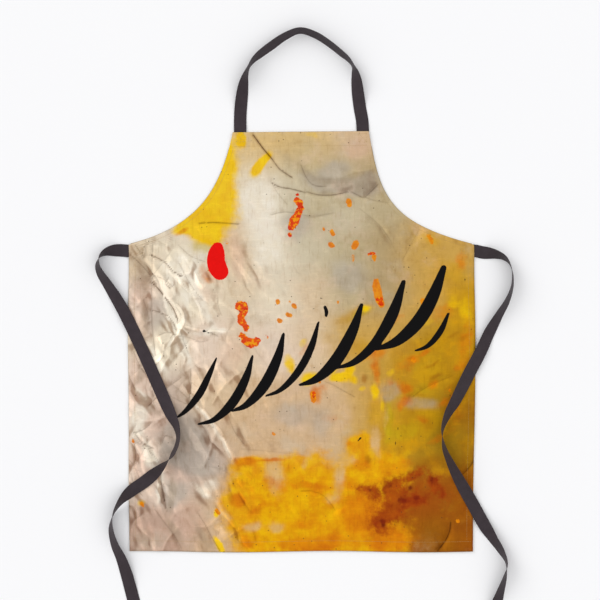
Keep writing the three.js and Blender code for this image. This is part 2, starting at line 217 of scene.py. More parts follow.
class MaterialGraph:
    """A material with a Principled shader, and the ways of adding nodes to it."""

    def __init__(self, name: str) -> None:
        """Makes the material, its shader and its output."""
        self.material = bpy.data.materials.new(name)
        self.material.use_nodes = True
        self.tree = self.material.node_tree
        self.tree.nodes.clear()
        self.shader = self.tree.nodes.new("ShaderNodeBsdfPrincipled")
        output = self.tree.nodes.new("ShaderNodeOutputMaterial")
        self.tree.links.new(self.shader.outputs["BSDF"], output.inputs["Surface"])

    def feed(self, socket: bpy.types.NodeSocket, value: object) -> None:
        """Links a signal to a socket, or sets the socket's own value."""
        if isinstance(value, Signal):
            self.tree.links.new(value.socket, socket)
        else:
            socket.default_value = value

    def node(
        self,
        kind: str,
        settings: dict[str, object] | None = None,
        inputs: dict[int | str, object] | None = None,
        output: int | str = 0,
    ) -> Signal:
        """Adds a node.

        Args:
            kind: The node's type.
            settings: Its properties, which are set first.
            inputs: What its sockets are fed, by name or number.
            output: The output that is wanted.

        Returns:
            The output as a signal.
        """
        made = self.tree.nodes.new(kind)
        for name, value in (settings or {}).items():
            setattr(made, name, value)
        for name, value in (inputs or {}).items():
            self.feed(made.inputs[name], value)
        return Signal(self, made.outputs[output])

    def dress(self, **values: object) -> None:
        """Feeds the shader's sockets: an underscore in a name stands for a space."""
        for name, value in values.items():
            self.feed(self.shader.inputs[name.replace("_", " ")], value)

    def attribute(self, name: str, output: str = "Fac") -> Signal:
        """Reads one of the mesh's attributes."""
        return self.node("ShaderNodeAttribute", {"attribute_name": name}, None, output)

    def pattern(self) -> Signal:
        """The place on the flat piece, in metres, from its own UV map."""
        return self.node("ShaderNodeUVMap", {"uv_map": PATTERN_MAP})

    def stretched(self, place: Signal, scale: tuple[float, float, float]) -> Signal:
        """A place with its three directions scaled."""
        return self.node("ShaderNodeVectorMath", {"operation": "MULTIPLY"}, {0: place, 1: scale})

    def cloud(
        self, place: Signal, size: float, detail: float, roughness: float, seed: float, output: str = "Fac"
    ) -> Signal:
        """Noise from 0 to 1.

        Args:
            place: Where on the piece.
            size: The size of the largest features, in metres.
            detail: How many times finer noise is added.
            roughness: How strong the finer noise is.
            seed: A number that picks the pattern.
            output: "Fac" for one value, or "Color" for three.

        Returns:
            The noise.
        """
        inputs = {"Vector": place, "W": seed, "Scale": 1 / size, "Detail": detail, "Roughness": roughness}
        return self.node("ShaderNodeTexNoise", {"noise_dimensions": "4D"}, inputs, output)

    def mixed(self, below: object, above: object, share: Signal | float) -> Signal:
        """Lays one colour over another."""
        return self.node("ShaderNodeMix", {"data_type": "RGBA"}, {0: share, 6: below, 7: above}, 2)

    def multiplied(self, below: object, above: object, share: Signal | float) -> Signal:
        """Darkens a colour by another one."""
        settings = {"data_type": "RGBA", "blend_type": "MULTIPLY"}
        return self.node("ShaderNodeMix", settings, {0: share, 6: below, 7: above}, 2)

    def lightened(self, below: object, gain: float, share: Signal | float) -> Signal:
        """Lightens a colour by a gain above 1, and keeps its hue."""
        return self.multiplied(below, (gain, gain, gain, 1.0), share)

    def waves(self, place: Signal, pitch: float, axis: int) -> Signal:
        """A wave from -1 to 1 along one axis of a place, one wave to a pitch in metres."""
        part = self.node("ShaderNodeSeparateXYZ", None, {0: place}, axis)
        return (part * (2 * math.pi / pitch)).sine()

    def swirled(self, place: Signal, size: float, amount: float, seed: float) -> Signal:
        """A place pushed about by noise, so that straight things wander."""
        push = self.cloud(place, size, 3.0, 0.55, seed, "Color")
        inputs = {0: push, 1: (amount,) * 3, 2: place}
        return self.node("ShaderNodeVectorMath", {"operation": "MULTIPLY_ADD"}, inputs)

    def crumpled(self, place: Signal, size: float, seed: float) -> tuple[Signal, Signal]:
        """Crumpled cloth: soft swells that meet in sharp creases, most of them running down to the right.

        Args:
            place: Where on the cloth.
            size: How wide a swell is, in metres.
            seed: A number that picks the pattern.

        Returns:
            How far the cloth turns to a light at its left, about -1 to 1, and its height.
        """
        bent = self.swirled(place, size * 1.6, size * 0.6, seed)
        lean, drawn_out = math.radians(33), 2.4
        inputs = {0: bent, 2: (0, 0, lean), 3: (1.0, drawn_out, 1.0)}
        turned = self.node("ShaderNodeMapping", {"vector_type": "TEXTURE"}, inputs)
        step = size * 0.05
        heights = []
        for side in (-1, 1):
            towards_light = (side * step * 0.84, -side * step * 0.23, 0)
            moved = self.node("ShaderNodeVectorMath", {"operation": "ADD"}, {0: turned, 1: towards_light})
            heights.append((self.cloud(moved, size, 2.0, 0.5, seed) - 0.5).size())
        return (heights[1] - heights[0]) * (0.9 * size / step), heights[0]

    def bumped(self, height: Signal, distance: float, strength: float = 1.0) -> None:
        """Feeds the shader's normal with a bump of a height in metres."""
        inputs = {"Height": height, "Distance": distance, "Strength": strength}
        self.dress(Normal=self.node("ShaderNodeBump", None, inputs))


def plain_weave(graph: MaterialGraph, place: Signal, pitch: float) -> Signal:
    """The threads of a plain weave, from 0 between threads to about 1 on top of them."""
    across = graph.waves(place, pitch, 0)
    along = graph.waves(place, pitch, 1)
    return across * along * 0.35 + (across.size() + along.size()) * 0.3


# --- Finishes ---


@dataclass(frozen=True)
class Pigment:
    """One colour of paint, laid where a piece's attribute of the same name is high.

    It runs from its colour to a deeper one. Its edge is how soft the edge is, ragged how far noise
    moves it, grain the size of that noise in metres, and fleck a colour that is spattered over it.
    """

    name: str
    colour: str
    deep: str
    edge: float
    ragged: float
    grain: float
    strength: float = 1.0
    fleck: str | None = None

    def lay(self, graph: MaterialGraph, place: Signal, below: Signal, seed: float) -> Signal:
        """Lays the paint over what is below it.

        Args:
            graph: The material.
            place: Where on the cloth.
            below: The colour so far.
            seed: A number that picks the pattern of its edge.

        Returns:
            The colour with the paint on it.
        """
        rough = graph.cloud(place, self.grain, 5.0, 0.62, seed) - 0.5
        laid = graph.attribute(self.name)
        cover = laid + rough * self.ragged * laid.rise(0.02, 0.35)
        mask = cover.rise(0.5 - self.edge, 0.5 + self.edge)
        body = graph.cloud(place, self.grain * 1.7, 4.0, 0.6, seed + 7).rise(0.32, 0.68)
        paint = graph.mixed(linear(self.colour), linear(self.deep), body)
        if self.fleck:
            speckle = graph.cloud(place, self.grain * 0.9, 4.0, 0.6, seed + 9)
            middle, softness = 0.54, self.edge * 0.7
            flecks = speckle.rise(middle - softness, middle + softness)
            paint = graph.mixed(paint, linear(self.fleck), flecks)
        return graph.mixed(below, paint, mask * self.strength)


# Paints in the order in which they are laid, in three coats.
WASHES = (
    Pigment("blush", "#e8c8b4", "#d8ad98", 0.34, 0.50, 0.022, 0.36),
    Pigment("ash", "#bcb2a6", "#a59a8e", 0.38, 0.45, 0.020, 0.60),
    # The next paint is painted shade along the folds on the bib and down the left side.
    Pigment("smoke", "#a5937a", "#8f7c66", 0.46, 0.90, 0.018, 0.55),
    # The next paint is pale print in its broad patches, and painted highlight along ridges in its narrow
    # streaks.
    Pigment("cream", "#f5edde", "#f0e5d0", 0.40, 0.60, 0.014, 0.85),
    Pigment("mustard", "#d8a30a", "#bb8610", 0.50, 1.10, 0.028, 0.66),
    Pigment("citron", "#cdb716", "#bba012", 0.40, 0.80, 0.018, 0.60),
)
PAINTS = (
    Pigment("yellow", "#f5cc08", "#eebb08", 0.24, 0.55, 0.016, 0.96),
    Pigment("gold", "#e9aa08", "#dc8c09", 0.26, 0.95, 0.024, 0.95, "#f0ba0a"),
    Pigment("linen", "#deba8a", "#d8ac66", 0.44, 1.10, 0.018, 0.80),
    Pigment("orange", "#e2860a", "#cc640a", 0.40, 1.00, 0.014, 0.78),
    Pigment("brown", "#a8650b", "#8c4e0a", 0.50, 0.90, 0.022, 0.58),
    Pigment("rust", "#8e2a0a", "#ae4a0c", 0.40, 2.00, 0.014, 0.90),
    Pigment("garnet", "#64160a", "#82220b", 0.40, 1.20, 0.007, 0.85),
)
DRIPS = (
    Pigment("drop", "#ee960a", "#d9700a", 0.09, 0.70, 0.006, 0.95),
    Pigment("coral", "#ee5c08", "#cf240e", 0.06, 1.35, 0.0095, 0.98, "#f29c0a"),
    Pigment("red", "#ef1310", "#e8120f", 0.035, 0.25, 0.004, 1.0),
)


@dataclass(frozen=True)
class PrintedClothFinish:
    """The front of the cloth: its ground colour, the paint printed on it, ink strokes, weave, and painted light
    and shade on its creases.
    """

    ink: str = "#0e0d0e"
    roughness: float = 0.88
    thread_pitch: float = 0.9 * MM

    def make(self) -> bpy.types.Material:
        """Builds the material."""
        graph = MaterialGraph("printed cloth")
        place = graph.pattern()
        colour = graph.attribute("ground", "Color")
        mottle = graph.cloud(place, 0.024, 6.0, 0.68, 1.0)
        colour = graph.multiplied(colour, linear("#cfb994"), (0.50 - mottle).rise(0.0, 0.25) * 0.40)
        colour = graph.lightened(colour, 1.16, (mottle - 0.5).rise(0.0, 0.25))
        colour = self._coated(graph, place, colour, WASHES, 11.0)
        colour = self._stained(graph, place, colour)
        colour = self._coated(graph, place, colour, PAINTS, 31.0)
        tilt, crumple = graph.crumpled(place, 0.056, 77.0)
        colour = self._brushed(graph, place, colour)
        # Painted light and shade of the creases and the crumple, over the print.
        colour = self._creased(graph, place, colour, tilt)
        colour = self._coated(graph, place, colour, DRIPS, 61.0)
        colour = self._speckled(graph, place, colour)
        bleed = (graph.cloud(place, 0.003, 3.0, 0.6, 91.0) - 0.5) * 0.12
        ink = (graph.attribute("ink") + bleed).rise(0.46, 0.54)
        colour = graph.mixed(colour, linear(self.ink), ink)
        weave = plain_weave(graph, place, self.thread_pitch)
        # Painted shade between the threads of the weave.
        colour = graph.multiplied(colour, linear("#b8ac96"), (1 - weave).rise(0.3, 1.0) * 0.18)
        fine = graph.cloud(place, 0.0012, 2.0, 0.6, 5.0)
        graph.dress(Base_Color=colour, Roughness=self.roughness - ink * 0.2, Specular_IOR_Level=0.07)
        wrinkle = graph.cloud(place, 0.010, 5.0, 0.6, 17.0)
        swells = crumple * graph.attribute("crumple")
        graph.bumped(weave * 0.10 + fine * 0.10 + wrinkle * 0.5 + swells * 2.6, 1.2 * MM, 0.7)
        return graph.material

    def _coated(
        self, graph: MaterialGraph, place: Signal, colour: Signal, coat: Sequence[Pigment], seed: float
    ) -> Signal:
        """Lays one coat's paints in turn, each with a seed of its own."""
        for number, pigment in enumerate(coat):
            colour = pigment.lay(graph, place, colour, seed + 3 * number)
        return colour

    def _stained(self, graph: MaterialGraph, place: Signal, colour: Signal) -> Signal:
        """Clouds the paint: with ochre and olive where it is stained, and with rose and grey elsewhere."""
        warm = graph.cloud(place, 0.048, 7.0, 0.62, 101.0).rise(0.50, 0.70)
        cool = graph.cloud(place, 0.060, 7.0, 0.62, 107.0).rise(0.50, 0.70)
        stained = graph.attribute("stained").rise(0.15, 0.85)
        clean = 1 - stained
        colour = graph.mixed(colour, linear("#e4a208"), warm * stained * 0.46)
        colour = graph.mixed(colour, linear("#a3841f"), cool * stained * 0.30)
        colour = graph.mixed(colour, linear("#e6c8b2"), warm * clean * 0.28)
        return graph.mixed(colour, linear("#c9c0ae"), cool * clean * 0.28)

    def _brushed(self, graph: MaterialGraph, place: Signal, colour: Signal) -> Signal:
        """Drags faint dry strokes along and across the ground."""
        down = graph.cloud(graph.stretched(place, (1.0, 0.16, 1.0)), 0.0045, 3.0, 0.6, 23.0)
        over = graph.cloud(graph.stretched(place, (0.16, 1.0, 1.0)), 0.0045, 3.0, 0.6, 29.0)
        colour = graph.multiplied(colour, linear("#c2a883"), (0.5 - down).rise(0.0, 0.3) * 0.34)
        return graph.lightened(colour, 1.12, (over - 0.5).rise(0.0, 0.3))

    def _creased(self, graph: MaterialGraph, place: Signal, colour: Signal, tilt: Signal) -> Signal:
        """Paints the printed crumple as light and shade: painted light and shade on the two sides of creases,
        thin lines of painted shade in folds, and painted highlights on the tops of ridges.

        Args:
            graph: The material.
            place: Where on the cloth.
            colour: The colour so far.
            tilt: How far the crumpled cloth turns to the light.

        Returns:
            The colour with the painted light and shade of the creases on it.
        """
        jitter = graph.cloud(place, 0.006, 4.0, 0.6, 41.0) - 0.5
        patchy = graph.cloud(place, 0.07, 2.0, 0.5, 43.0).rise(0.40, 0.62) * 0.7 + 0.3
        relief = graph.attribute("relief") + tilt * graph.attribute("crumple") * patchy
        # Painted shade on the sides of creases and swells that turn away from the light at the left.
        colour = graph.multiplied(colour, linear("#a98f7b"), (jitter * 0.3 - relief).rise(0.05, 0.9) * 0.74)
        # Painted highlight on the sides that turn to the light.
        colour = graph.lightened(colour, 1.36, (relief + jitter * 0.3).rise(0.05, 0.85))
        away = graph.attribute("crease_side").size() + jitter * 2.4
        fold = graph.attribute("fold_line").rise(0.08, 0.80) * (patchy * 0.5 + 0.5)
        ridge = graph.attribute("ridge_line").rise(0.08, 0.80)
        # Painted shade along folds: a broad soft band, then a thin dark line in the fold itself.
        colour = graph.multiplied(colour, linear("#9a7c60"), (1 - away.rise(0.4, 6.0)) * fold * 0.50)
        colour = graph.multiplied(colour, linear("#5f452c"), (1 - away.rise(0.2, 1.7)) * fold * 0.74)
        # Painted highlight on the tops of ridges, with a rim of painted shade beside them.
        colour = graph.lightened(colour, 1.30, (1 - away.rise(1.0, 4.4)) * ridge)
        rim = away.rise(2.6, 4.0) * (1 - away.rise(4.0, 6.4))
        return graph.multiplied(colour, linear("#a08970"), rim * ridge * 0.40)

    def _speckled(self, graph: MaterialGraph, place: Signal, colour: Signal) -> Signal:
        """Flicks small dark specks over the cloth."""
        settings = {"feature": "F1", "voronoi_dimensions": "2D"}
        inputs = {"Vector": place, "Scale": 26.0, "Randomness": 1.0}
        speck = graph.node("ShaderNodeTexVoronoi", settings, inputs)
        rare = graph.cloud(place, 0.09, 1.0, 0.5, 63.0).rise(0.46, 0.58)
        spots = (0.034 - speck).rise(0.0, 0.012)
        return graph.mixed(colour, linear("#4a3420"), spots * rare * 0.8)


@dataclass(frozen=True)
class WovenFinish:
    """Unprinted woven cloth, for the turned side of the panel, its hems and the bias tape."""

    name: str
    colour: str
    shade: str
    thread_pitch: float = 0.9 * MM
    roughness: float = 0.92

    def make(self) -> bpy.types.Material:
        """Builds the material."""
        graph = MaterialGraph(self.name)
        place = graph.pattern()
        mottle = graph.cloud(place, 0.020, 5.0, 0.6, 3.0)
        colour = graph.mixed(linear(self.colour), linear(self.shade), mottle.rise(0.3, 0.7))
        weave = plain_weave(graph, place, self.thread_pitch)
        # Painted shade between the threads of the weave.
        colour = graph.multiplied(colour, linear("#b8ac98"), (1 - weave).rise(0.2, 1.0) * 0.4)
        graph.dress(
            Base_Color=colour,
            Roughness=self.roughness,
            Specular_IOR_Level=0.22,
            Sheen_Weight=0.1,
            Sheen_Roughness=0.6,
        )
        graph.bumped(weave * 0.2 + graph.cloud(place, 0.004, 3.0, 0.6, 8.0) * 0.4, 0.8 * MM, 0.7)
        return graph.material


@dataclass(frozen=True)
class WebbingFinish:
    """Dark polyester webbing: ribs along its length, crossed by fine picks, and firmer selvedges."""

    colour: str = "#2c2227"
    worn: str = "#3f343a"
    rib_pitch: float = 2.1 * MM
    pick_pitch: float = 1.1 * MM
    roughness: float = 0.62

    def make(self) -> bpy.types.Material:
        """Builds the material."""
        graph = MaterialGraph("dark webbing")
        place = graph.pattern()
        ribs = graph.waves(place, self.rib_pitch, 0)
        picks = graph.waves(place, self.pick_pitch, 1)
        threads = ribs * picks * 0.5 + ribs * 0.25 + picks * 0.12
        shade = graph.cloud(place, 0.014, 4.0, 0.6, 2.0)
        # The lighter colour is painted highlight on the raised threads, and lighter random patches.
        share = threads.rise(-0.5, 0.8) * 0.35 + shade.rise(0.3, 0.75) * 0.35
        colour = graph.mixed(linear(self.colour), linear(self.worn), share)
        graph.dress(
            Base_Color=colour,
            Roughness=self.roughness + (0.5 - threads) * 0.12,
            Specular_IOR_Level=0.35,
            Sheen_Weight=0.06,
            Sheen_Roughness=0.5,
        )
        graph.bumped(threads * 0.5 + shade * 0.15, 0.35 * MM, 0.8)
        return graph.material


@dataclass(frozen=True)
class ThreadFinish:
    """Twisted sewing thread."""

    name: str
    colour: str
    shade: str
    twist_pitch: float = 0.35 * MM

    def make(self) -> bpy.types.Material:
        """Builds the material."""
        graph = MaterialGraph(self.name)
        coordinates = graph.node("ShaderNodeTexCoord", None, None, "Object")
        twist = graph.waves(coordinates, self.twist_pitch, 0)
        fuzz = graph.cloud(coordinates, 0.004, 3.0, 0.6, 4.0)
        # Painted shade in bands along the twist, over random tone from the fuzz.
        colour = graph.mixed(linear(self.colour), linear(self.shade), twist * 0.3 + fuzz * 0.8)
        graph.dress(Base_Color=colour, Roughness=0.6, Specular_IOR_Level=0.4)
        graph.bumped(twist, 0.05 * MM, 0.6)
        return graph.material


@dataclass(frozen=True)
class TableFinish:
    """The plain pale table top."""

    colour: str = "#fbfbfc"
    shade: str = "#f9f9fb"

    def make(self) -> bpy.types.Material:
        """Builds the material."""
        graph = MaterialGraph("pale table")
        coordinates = graph.node("ShaderNodeTexCoord", None, None, "Object")
        cloud = graph.cloud(coordinates, 0.6, 2.0, 0.5, 1.0)
        graph.dress(
            Base_Color=graph.mixed(linear(self.colour), linear(self.shade), cloud),
            Roughness=0.9,
            Specular_IOR_Level=0.1,
        )
        return graph.material


class Wardrobe:
    """Every finish, made once and shared."""

    def __init__(self) -> None:
        """Makes the materials."""
        self.printed = PrintedClothFinish().make()
        self.turned = WovenFinish("turned cloth", "#ded2bb", "#cfc0a4").make()
        self.tape = WovenFinish("bias tape", "#cdbd9c", "#bfae8a", 0.7 * MM).make()
        self.webbing = WebbingFinish().make()
        self.dark_thread = ThreadFinish("dark thread", "#2f262b", "#453a40").make()
        self.cloth_thread = ThreadFinish("cloth thread", "#c2a266", "#a98a52").make()


# --- Meshes ---


def new_piece(
    name: str, points: Array, faces: list[list[int]], material: bpy.types.Material
) -> bpy.types.Object:
    """Makes a smooth shaded object.

    Args:
        name: The object's name.
        points: Rows of x, y and z.
        faces: The numbers of each face's points, anticlockwise from outside.
        material: Its finish.

    Returns:
        The object, in the scene.
    """
    mesh = bpy.data.meshes.new(name)
    mesh.from_pydata(points.tolist(), [], faces)
    mesh.materials.append(material)
    mesh.polygons.foreach_set("use_smooth", [True] * len(mesh.polygons))
    piece = bpy.data.objects.new(name, mesh)
    bpy.context.scene.collection.objects.link(piece)
    return piece


@dataclass
class Skin:
    """A grid of points that becomes a sheet or a tube, with its pattern map.

    The grid's first direction runs along the piece and the second one across it.
    """

    points: Array
    pattern: Array
    closed_across: bool = False

    def build(self, name: str, material: bpy.types.Material) -> bpy.types.Object:
        """Makes the object.

        Args:
            name: The object's name.
            material: Its finish.

        Returns:
            The object, smooth shaded.
        """
        rows, columns = self.points.shape[:2]
        last = columns if self.closed_across else columns - 1
        row, column = np.meshgrid(np.arange(rows - 1), np.arange(last), indexing="ij")
        row, column = row.ravel(), column.ravel()
        onward = (column + 1) % columns
        corners = [(row, column), (row, onward), (row + 1, onward), (row + 1, column)]
        faces = np.stack([r * columns + c for r, c in corners], axis=1)
        piece = new_piece(name, self.points.reshape(-1, 3), faces.tolist(), material)
        wrapped = np.concatenate([self.pattern, self.pattern[:, :1]], axis=1)
        spots = [(row, column), (row, column + 1), (row + 1, column + 1), (row + 1, column)]
        uv = np.stack([wrapped[r, c] for r, c in spots], axis=1)
        layer = piece.data.uv_layers.new(name=PATTERN_MAP)
        layer.data.foreach_set("uv", uv.ravel().astype(np.float32))
        return piece


def close_ends(piece: bpy.types.Object) -> None:
    """Closes the open ends of a tube with fans of faces."""
    shape = bmesh.new()
    shape.from_mesh(piece.data)
    rims = [edge for edge in shape.edges if edge.is_boundary]
    bmesh.ops.holes_fill(shape, edges=rims, sides=0)
    bmesh.ops.recalc_face_normals(shape, faces=shape.faces)
    shape.to_mesh(piece.data)
    shape.free()


def deselect_all() -> None:
    """Leaves nothing selected."""
    for thing in bpy.context.selected_objects:
        thing.select_set(False)


def make_active(piece: bpy.types.Object) -> None:
    """Selects one object alone."""
    deselect_all()
    piece.select_set(True)
    bpy.context.view_layer.objects.active = piece


def add_modifier(piece: bpy.types.Object, kind: str, **settings: object) -> None:
    """Adds a modifier to a piece and applies it.

    Args:
        piece: The piece.
        kind: The modifier's type.
        settings: Its properties.
    """
    make_active(piece)
    modifier = piece.modifiers.new(kind.lower(), kind)
    for name, value in settings.items():
        setattr(modifier, name, value)
    bpy.ops.object.modifier_apply(modifier=modifier.name)


def finish_piece(
    piece: bpy.types.Object, body: Body | None, replaced: Sequence[str]
) -> bpy.types.Object:
    """Tells the frame what a piece rides on and stands for.

    Args:
        piece: The piece.
        body: The body that it rides on, or none to leave it on no body.
        replaced: The parts that it stands for.

    Returns:
        The piece.
    """
    if body:
        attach(piece, body.value)
    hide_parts(*replaced)
    LOG.info("%s: %d faces", piece.name, len(piece.data.polygons))
    return piece


# --- The print on the cloth, and the painted light and shade of its creases. Places and sizes are in millimetres, from the apron's own origin ---


class Paint(Enum):
    """The ground colours of the print, from pale to deep."""

    CREAM = "#e7dac2"
    SHELL = "#e6d1bf"
    SAND = "#dec5a4"
    TAN = "#d5b58f"
    STRAW = "#dcbb7e"
    STONE = "#cfc3a8"
    KHAKI = "#bfae89"
    MOSS = "#b49d74"
    PUTTY = "#bfab9c"
    ROSEWOOD = "#be9f8c"
    HONEY = "#cda352"
    OCHRE = "#c29024"
    BRONZE = "#ae8319"
    AMBER = "#df9e16"
    UMBER = "#99610e"
    SIENNA = "#a0500f"


# Where the ground has each colour: x and y, and how far it reaches where that isn't the usual reach.
TINTS: dict[Paint, Rows] = {
    Paint.CREAM: (
        (-85, 215), (-85, 145), (-60, 65), (-275, 60), (-225, 50), (-235, -20), (-180, 0), (-60, -20),
        (-275, -105),
    ),
    Paint.SHELL: (
        (-305, -25), (-185, -105), (-60, -110), (-320, -200), (-320, -285), (-325, -385), (-270, -375),
    ),
    Paint.SAND: ((-325, 65, 30), (-125, 10), (20, -15), (-120, -125), (15, -100), (-185, -215)),
    Paint.TAN: (
        (105, 300), (-135, 95), (-110, -235), (-30, -230), (60, -235), (-115, -295), (-40, -290),
        (45, -290), (-165, -425), (-175, -500),
    ),
    Paint.STRAW: ((-122, 302), (-60, 292), (20, 302)),
    Paint.STONE: ((-25, 200), (-30, 140), (95, 170), (15, 75)),
    Paint.KHAKI: ((10, 250), (75, 240), (45, 160), (160, 165), (90, 60), (90, -5)),
    Paint.MOSS: ((125, 215), (170, 95), (165, 5)),
    Paint.PUTTY: ((-250, -225), (-245, -310), (-185, -330), (-205, -385)),
    Paint.ROSEWOOD: ((-310, -475), (-235, -485)),
    Paint.HONEY: ((235, 75), (315, 60), (245, -15), (100, -95), (190, -95), (135, -215), (120, -290)),
    Paint.OCHRE: ((320, -25), (325, -95), (205, -200), (190, -305)),
    Paint.BRONZE: ((255, -105), (270, -225), (255, -315), (320, -320)),
    Paint.AMBER: ((-105, -395), (-30, -400), (60, -400), (140, -400), (-90, -480), (10, -485), (110, -490)),
    Paint.UMBER: ((330, -225), (265, -495)),
    Paint.SIENNA: ((235, -410), (310, -400), (200, -490), (330, -475)),
}


@dataclass(frozen=True)
class Patch:
    """A soft oval of paint: it covers half where its oval ends."""

    x: float
    y: float
    across: float
    along: float
    turn: float = 0.0
    strength: float = 1.0

    def cover(self, places: Array) -> Array:
        """How much of it lies at each place.

        Args:
            places: Rows of x and y, in metres.

        Returns:
            One value per place, from 0 to the patch's strength.
        """
        angle = math.radians(self.turn)
        dx = places[:, 0] - self.x * MM
        dy = places[:, 1] - self.y * MM
        along_x = dx * math.cos(angle) + dy * math.sin(angle)
        along_y = dy * math.cos(angle) - dx * math.sin(angle)
        distance = (along_x / (self.across * MM)) ** 2 + (along_y / (self.along * MM)) ** 2
        return self.strength / (1 + distance**2)


